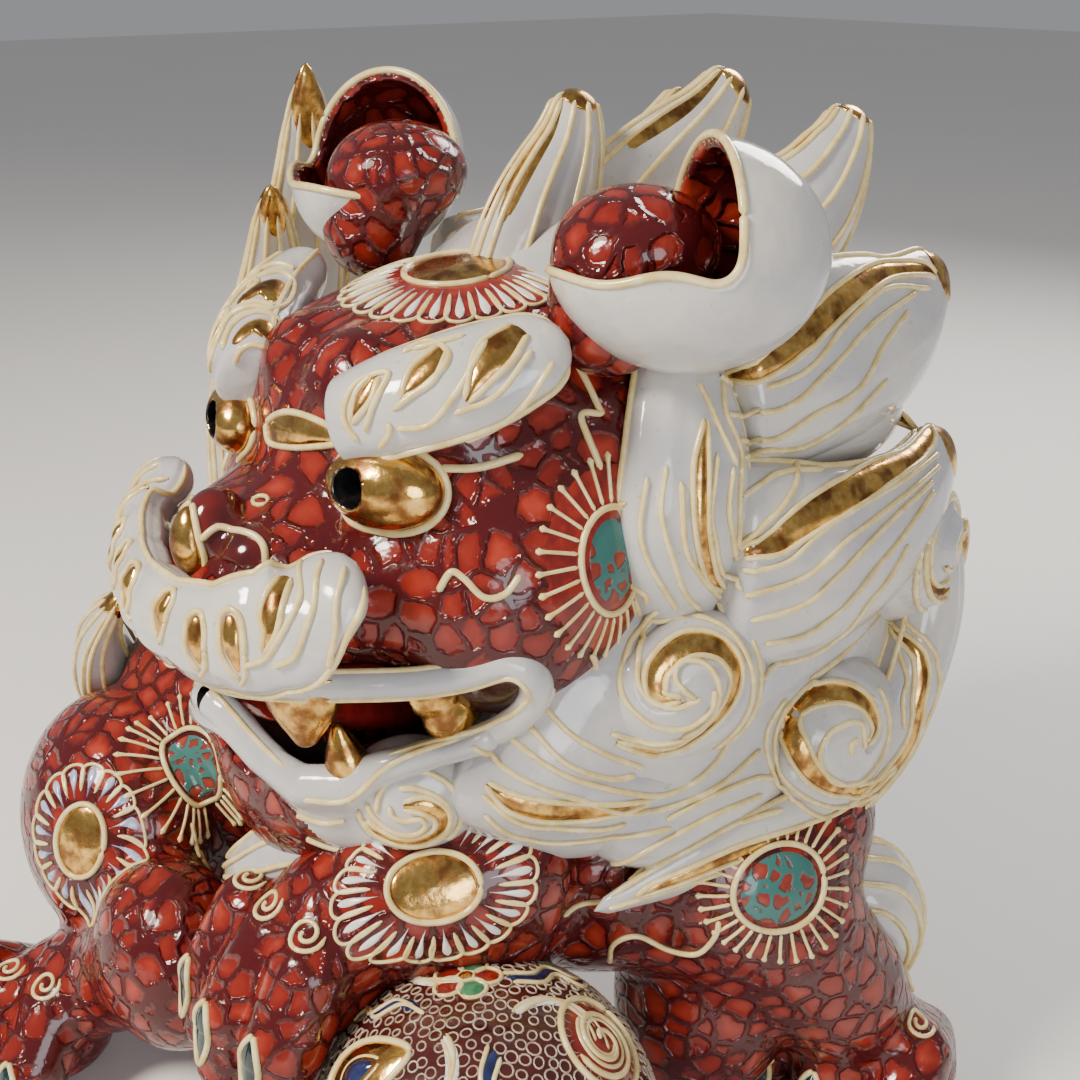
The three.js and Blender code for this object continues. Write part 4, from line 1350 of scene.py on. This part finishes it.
def tufts():
    def tuft(name, points, wide, face, **more):
        shape = Lock(points, [wide * 0.7, wide, wide * 0.72, 2], [6, 7, 5, 1.5], face)
        Hair(name, shape, name, both=False, group="body", front=5, back=3, **more)

    side_stroke = [(0.2, 0.2, 0.4, 0.95, 0.0)]
    tuft("elbow_tuft_left", [(72, 62, 60), (80, 74, 54), (84, 80, 42), (84, 80, 28)], 10, (1, 0.3, 0))
    tuft("elbow_tuft_right", [(34, -28, 84), (22, -38, 80), (10, -44, 72), (0, -46, 66)], 9, (-0.4, -0.9, 0.3))
    for name, s in SIDES:
        line = [(-76, 28 * s, 60), (-82, 36 * s, 76), (-77, 40 * s, 92), (-66, 38 * s, 106)]
        tuft(f"thigh_tuft_{name}", line, 13, (-0.6, 0.8 * s, 0.2), strokes=side_stroke)
    for i in (1, 2, 3):
        x = 6 - 20 * i
        line = [(x + 12, 0, 98), (x, -1, 108), (x - 10, -2, 116), (x - 20, -3, 126)]
        tuft(f"spine_lock_{i}", line, 11, (0, 1, 0), strokes=side_stroke)


def tail():
    for name, points, wide in (
        ("tail_plume_middle", [(-78, 2, 88), (-98, 20, 124), (-100, 37, 172), (-88, 34, 225)], 16),
        ("tail_plume_right", [(-84, 4, 104), (-98, 16, 134), (-100, 26, 164), (-88, 22, 196)], 11),
        ("tail_plume_left", [(-84, 18, 106), (-98, 42, 132), (-100, 56, 160), (-89, 54, 192)], 12),
    ):
        shape = Lock(points, [wide * 0.6, wide, wide * 0.9, 2.5], [10, 9, 6, 2], (-1, 0, 0.1))
        strokes = [(0.3, 0.2, 0.45, 0.96, 0.1), (1.02, 0.2, 0.3, 0.97, 0.0), (1.6, 0.3, 0.2, 0.6, 0.1)]
        Hair(name, shape, name, both=False, group="body", front=5, back=5, strokes=strokes)


# ------------------------------------------------------------------------------- ball
BALL = egg(BALL_AT, (BALL_R, BALL_R, BALL_R))


def ball():
    shape = above_ground(BALL)
    mesh = skin(shape, BALL_AT - BALL_R - 2, BALL_AT + BALL_R + 2, 1.6)
    # the ground's dark colour is partly the ball's maroon and partly painted shade
    add("ball", mesh, BALL_GROUND_SHADED, "ball_enamel", ("ball",))


# ------------------------------------------------------------------------------- painted flowers
def flower(sheet, group, a, b, middle_kind, petals, reach, petal_half, kind="petals", start=0.0, sweep=360.0):
    """An oval heart with petals round it, each in its own piped arch."""
    draw(group, middle_kind, sheet.patch(oval(a, b)[:-1], 0.7))
    draw(group, "lines", sheet.ring(a + 0.5, b + 0.5))
    for i in range(petals):
        turn = math.radians(start + sweep * (i + 0.5) / petals)
        way = np.array([math.cos(turn), math.sin(turn)])
        root = way * (a + 2.0, b + 2.0)
        draw(group, kind, sheet.petal(root, root + way * reach, petal_half))
        step = math.radians(sweep / petals / 2)
        sides = []
        for k, r in ((-1, 0.2), (-1, 0.95), (0, 1.12), (1, 0.95), (1, 0.2)):
            way_k = np.array([math.cos(turn + k * step), math.sin(turn + k * step)])
            sides.append(way_k * (a + 2.0 + reach * r, b + 2.0 + reach * r))
        draw(group, "lines", sheet.line(sides, 0.4))


def sun(sheet, group, a, b, ticks, reach, start=0.0, sweep=360.0):
    """A teal heart with pins all round it."""
    draw(group, "teal", sheet.patch(oval(a, b)[:-1], 0.8))
    draw(group, "lines", sheet.ring(a + 1.6, b + 1.6))
    for i in range(ticks):
        turn = math.radians(start + sweep * (i + 0.5) / ticks)
        way = np.array([math.cos(turn), math.sin(turn)])
        root = way * (a + 2.4, b + 2.4)
        draw(group, "lines", sheet.pin(root, root + way * reach, 0.5))


def body_flowers():
    right_shoulder = Sheet(BODY, (57, -30, 86))
    flower(right_shoulder, "body", 8.5, 6.5, "gilding", 20, 9.5, 1.15)
    left_shoulder = Sheet(BODY, (88, 34, 75))
    sun(left_shoulder, "body", 9.5, 7.5, 32, 8)
    sun(Sheet(BODY, (-30, -39, 75)), "body", 7.5, 7.5, 28, 8)
    flower(Sheet(BODY, (-35, -66, 63), (0.2, 0, 1)), "body", 6, 8.5, "gilding", 16, 8.5, 1.5, kind="lilac")
    flower(Sheet(BODY, (-50, -22, 103), (1, 0, 0)), "body", 6, 7, "gilding", 18, 9, 1.2)
    # the far side of the body carries the same flowers
    sun(Sheet(BODY, (-28, 40, 76)), "body", 7.5, 7.5, 28, 8)
    flower(Sheet(BODY, (-52, 52, 62), (0.2, 0, 1)), "body", 6, 8.5, "gilding", 16, 8.5, 1.5, kind="lilac")
    sun(Sheet(BODY, (10, 44, 74)), "body", 7, 6, 26, 7)
    skin_lines = [
        [(66, 7, 56), (68, 6, 63), (72, 9, 65), (76, 14, 61), (80, 18, 61), (82, 21, 66), (82, 22, 70)],
        [(-25, -43, 64), (-26, -44, 56), (-33, -45, 55), (-29, -45, 47)],
        [(-26, 44, 62), (-28, 46, 54), (-34, 46, 53), (-30, 47, 46)],
        [(84, 14, 84), (80, 4, 82), (84, 0, 76), (78, -6, 72)],
    ]
    for points in skin_lines:
        path = spline(points, 50)
        places, out = press(BODY, path, LINE_R * 0.3)
        draw("body", "lines", tube(places, 0.6, out))


def head_flowers():
    crown = moved(SKULL, HEAD)
    forehead = Sheet(crown, HEAD + (1, 1, 49), (0, 1, 0))
    draw("head", "red", forehead.patch(oval(24, 24)[:-1], 0.3))
    flower(forehead, "head", 10.5, 10, "gilding", 26, 11, 1.2)
    for side, s in SIDES:
        cheek = Sheet(crown, HEAD + (52 * s, -1, 3.5))
        draw("head", "red", cheek.patch(oval(18, 20)[:-1], 0.3))
        sun(cheek, "head", 6.5, 8.5, 28, 9.5)
    draw("head", "lines", Sheet(crown, HEAD + (5, -50, 17)).ring(1.7, 1.3, radius=0.45))
    for path in (
        [(41, -32, 2), (42, -30, 5.5), (44, -28.5, 4.5), (47, -26.5, 1.5), (49, -23.5, 2), (49.5, -20.5, 5)],
        [(36.5, 2, 37.5), (43, 2, 30.5), (44, 2, 29), (43.5, -2, 29), (48, -1, 20)],
        [(53, -7, -13), (52, -5, -17), (51, -7, -19.5), (49, -5.5, -22.5), (47, -4, -27)],
    ):
        places, out = press(SKULL, spline(path, 50), LINE_R * 0.3)
        draw_both("head", "lines", tube(places, LINE_R, out))


def ball_circlets(count=1950, around=10, section=4):
    """Small raised rings of cream, side by side all over the ball, in a dimmed cream that is painted shade."""
    chance = np.random.default_rng(5)
    i = np.arange(count) + 0.5
    z, turn = 1 - 2 * i / count, i * math.pi * (3 - math.sqrt(5))
    flat = np.sqrt(1 - z * z)
    out = np.stack([flat * np.cos(turn), flat * np.sin(turn), z], 1)
    out = unit(out + chance.normal(0, 0.007, out.shape))[:, None]
    right = unit(np.cross(out, (0.3, 0.2, 1)) + out * 0)
    up = np.cross(out, right)
    a = np.linspace(0, 2 * math.pi, around, endpoint=False)[None, :, None]
    a = a + chance.uniform(0, 6, (count, 1, 1))
    away = right * np.cos(a) * chance.uniform(0.8, 1.15, (count, 1, 1)) + up * np.sin(a)
    path = out * BALL_R + away * chance.uniform(0.85, 1.3, (count, 1, 1))
    b = np.linspace(0, 2 * math.pi, section, endpoint=False)[:, None]
    verts = (unit(path) * BALL_R)[:, :, None] + away[:, :, None] * 0.2 * np.cos(b) + unit(path)[:, :, None] * 0.26 * np.sin(b)
    c, k, m = np.meshgrid(np.arange(count), np.arange(around), np.arange(section), indexing="ij")

    def number(k, m):
        return (c * around + k % around) * section + m % section

    faces = np.stack([number(k, m), number(k + 1, m), number(k + 1, m + 1), number(k, m + 1)], -1)
    draw("ball", "circlets", (verts.reshape(-1, 3) + BALL_AT, faces.reshape(-1, 4)))


def ball_drawing():
    """Enamel scrolls over the ball's circlets."""
    def on_ball(x, y, z, up=(0, 0, 1)):
        return Sheet(BALL, (x, y, z), up)

    spiral = on_ball(86.5, -13, 60)
    draw("ball", "red", spiral.patch(oval(9.5, 9.5)[:-1], 0.6))
    draw("ball", "lines", spiral.ring(9.8), spiral.line(coil(-1.9, 0.6, 7.8, 2.0)), spiral.line(coil(-1.6, 2.4, 6.2, -1.2), 0.5))
    petal = on_ball(64, -52, 58, (0.2, -0.3, 1))
    point = [(0, 12), (4.6, 6), (6.6, -1), (5.2, -7), (0, -10), (-5.2, -7), (-6.6, -1), (-4.6, 6)]
    draw("ball", "gilding", petal.patch(closed(point), 1.0))
    draw("ball", "lines", petal.line(closed(point)), petal.line(closed(np.array(point) * 0.45)))
    draw("ball", "navy", petal.patch(closed(np.array(point) * 0.4), 1.5))
    top = on_ball(*(BALL_AT + (2, -4, 34)), up=(-0.7, 0.6, 0))
    for turn in (0, 120, 240):
        c, s = math.cos(math.radians(turn)), math.sin(math.radians(turn))

        def spun(points):
            return [(x * c - y * s, x * s + y * c) for x, y in points]

        band = spun([(6, 9), (13, 12), (17, 19), (25, 20), (30, 27)])
        draw("ball", "lines", top.line(np.array(band) + (1.3, -1.3), 0.5), top.line(np.array(band) - (1.3, -1.3), 0.5))
        draw("ball", "navy", top.ribbon(band, 1.7))
        arc = spun(oval(13, 13, 20, 0.3, 2.4) * (1, 0.9) + (20, -6))
        draw("ball", "petals", top.ribbon(arc, 1.5))
        draw("ball", "lines", top.line(np.array(arc) * 1.09, 0.5, smooth=False), top.line(np.array(arc) * 0.91, 0.5, smooth=False))
    for x, y, z in ((36, -30, 40), (70, 6, 34), (64, -28, 69), (50, -60, 30), (100, -32, 20), (52, 0, 18), (95, -45, 40)):
        blossom = on_ball(x, y, z)
        for k in range(5):
            turn = 2 * math.pi * k / 5
            way = np.array([math.cos(turn), math.sin(turn)])
            draw("ball", "leaf" if k % 2 else "red", blossom.patch(oval(2.6, 2.6)[:-1] + way * 4.2, 0.6))
            draw("ball", "lines", blossom.line(oval(2.8, 2.8, 18) + way * 4.2, 0.45, smooth=False))
        draw("ball", "gilding", blossom.patch(oval(1.8, 1.8)[:-1], 1.0))


KINDS = {
    "lines": (CREAM, "white_glaze"),
    "circlets": (CIRCLET_SHADED, "white_glaze"),
    "gilding": (GOLD, "gilding"),
    "petals": (PETAL, "white_glaze"),
    "lilac": (LILAC, "white_glaze"),
    "teal": (TEAL, "ball_enamel"),
    "claws": (CLAW, "ball_enamel"),
    "navy": (NAVY, "ball_enamel"),
    "leaf": (GREEN, "ball_enamel"),
    "red": (RED_PLAIN, "red_enamel"),
}

head_shell()
lower_jaw()
lips()
muzzle()
eyes_and_brows()
ears()
mane_cap()
mane()
curls()
side_hair()
head_flowers()
inside_the_mouth()
body()
claws()
tufts()
tail()
ball()
ball_circlets()
ball_drawing()
body_flowers()
for (group, kind), parts in DRAWN.items():
    material, slot = KINDS[kind]
    add(f"{group}_{kind}", joined(parts), material, slot)


# ------------------------------------------------------------------------------- camera, light and floor
def aimed(made, at, target):
    made.location = Vector(at) * MM
    made.rotation_euler = (Vector(target) - Vector(at)).to_track_quat("-Z", "Y").to_euler()
    return made


def camera():
    data = bpy.data.cameras.new("camera")
    data.sensor_width = 36
    data.lens = 49.47
    data.clip_start = 0.01
    made = bpy.data.objects.new("camera", data)
    bpy.context.scene.collection.objects.link(made)
    target = np.array([45.0, 5.0, 145.0])
    turn, rise = math.radians(52), math.radians(22)
    away = np.array([math.sin(turn) * math.cos(rise), -math.cos(turn) * math.cos(rise), math.sin(rise)])
    bpy.context.scene.camera = aimed(made, target + 290 * away, target)


def lamp(name, at, size, power, color):
    data = bpy.data.lights.new(name, "AREA")
    data.shape = "DISK"
    data.size = size * MM
    data.energy = power
    data.color = color
    made = bpy.data.objects.new(name, data)
    bpy.context.scene.collection.objects.link(made)
    aimed(made, at, (0, 0, 100))


def surroundings():
    mesh = bpy.data.meshes.new("floor")
    reach = 4.0
    mesh.from_pydata([(-reach, -reach, 0), (reach, -reach, 0), (reach, reach, 0), (-reach, reach, 0)], [], [(0, 1, 2, 3)])
    paint = Paint("floor", roughness=0.6)
    mesh.materials.append(paint.finish(paint.mix(paint.noise(300).outputs["Fac"], (0.78, 0.76, 0.73), (0.82, 0.80, 0.77))))
    floor = bpy.data.objects.new("floor", mesh)
    bpy.context.scene.collection.objects.link(floor)
    world = bpy.data.worlds.new("studio")
    world.use_nodes = True
    world.node_tree.nodes["Background"].inputs["Color"].default_value = (0.86, 0.87, 0.92, 1)
    world.node_tree.nodes["Background"].inputs["Strength"].default_value = 0.34
    bpy.context.scene.world = world
    lamp("key", (-60, -620, 700), 240, 12, (1.0, 0.92, 0.80))
    lamp("fill", (900, -300, 300), 500, 4, (0.92, 0.95, 1.0))
    lamp("back", (-200, 700, 600), 400, 6, (1.0, 0.95, 0.9))


camera()
surroundings()
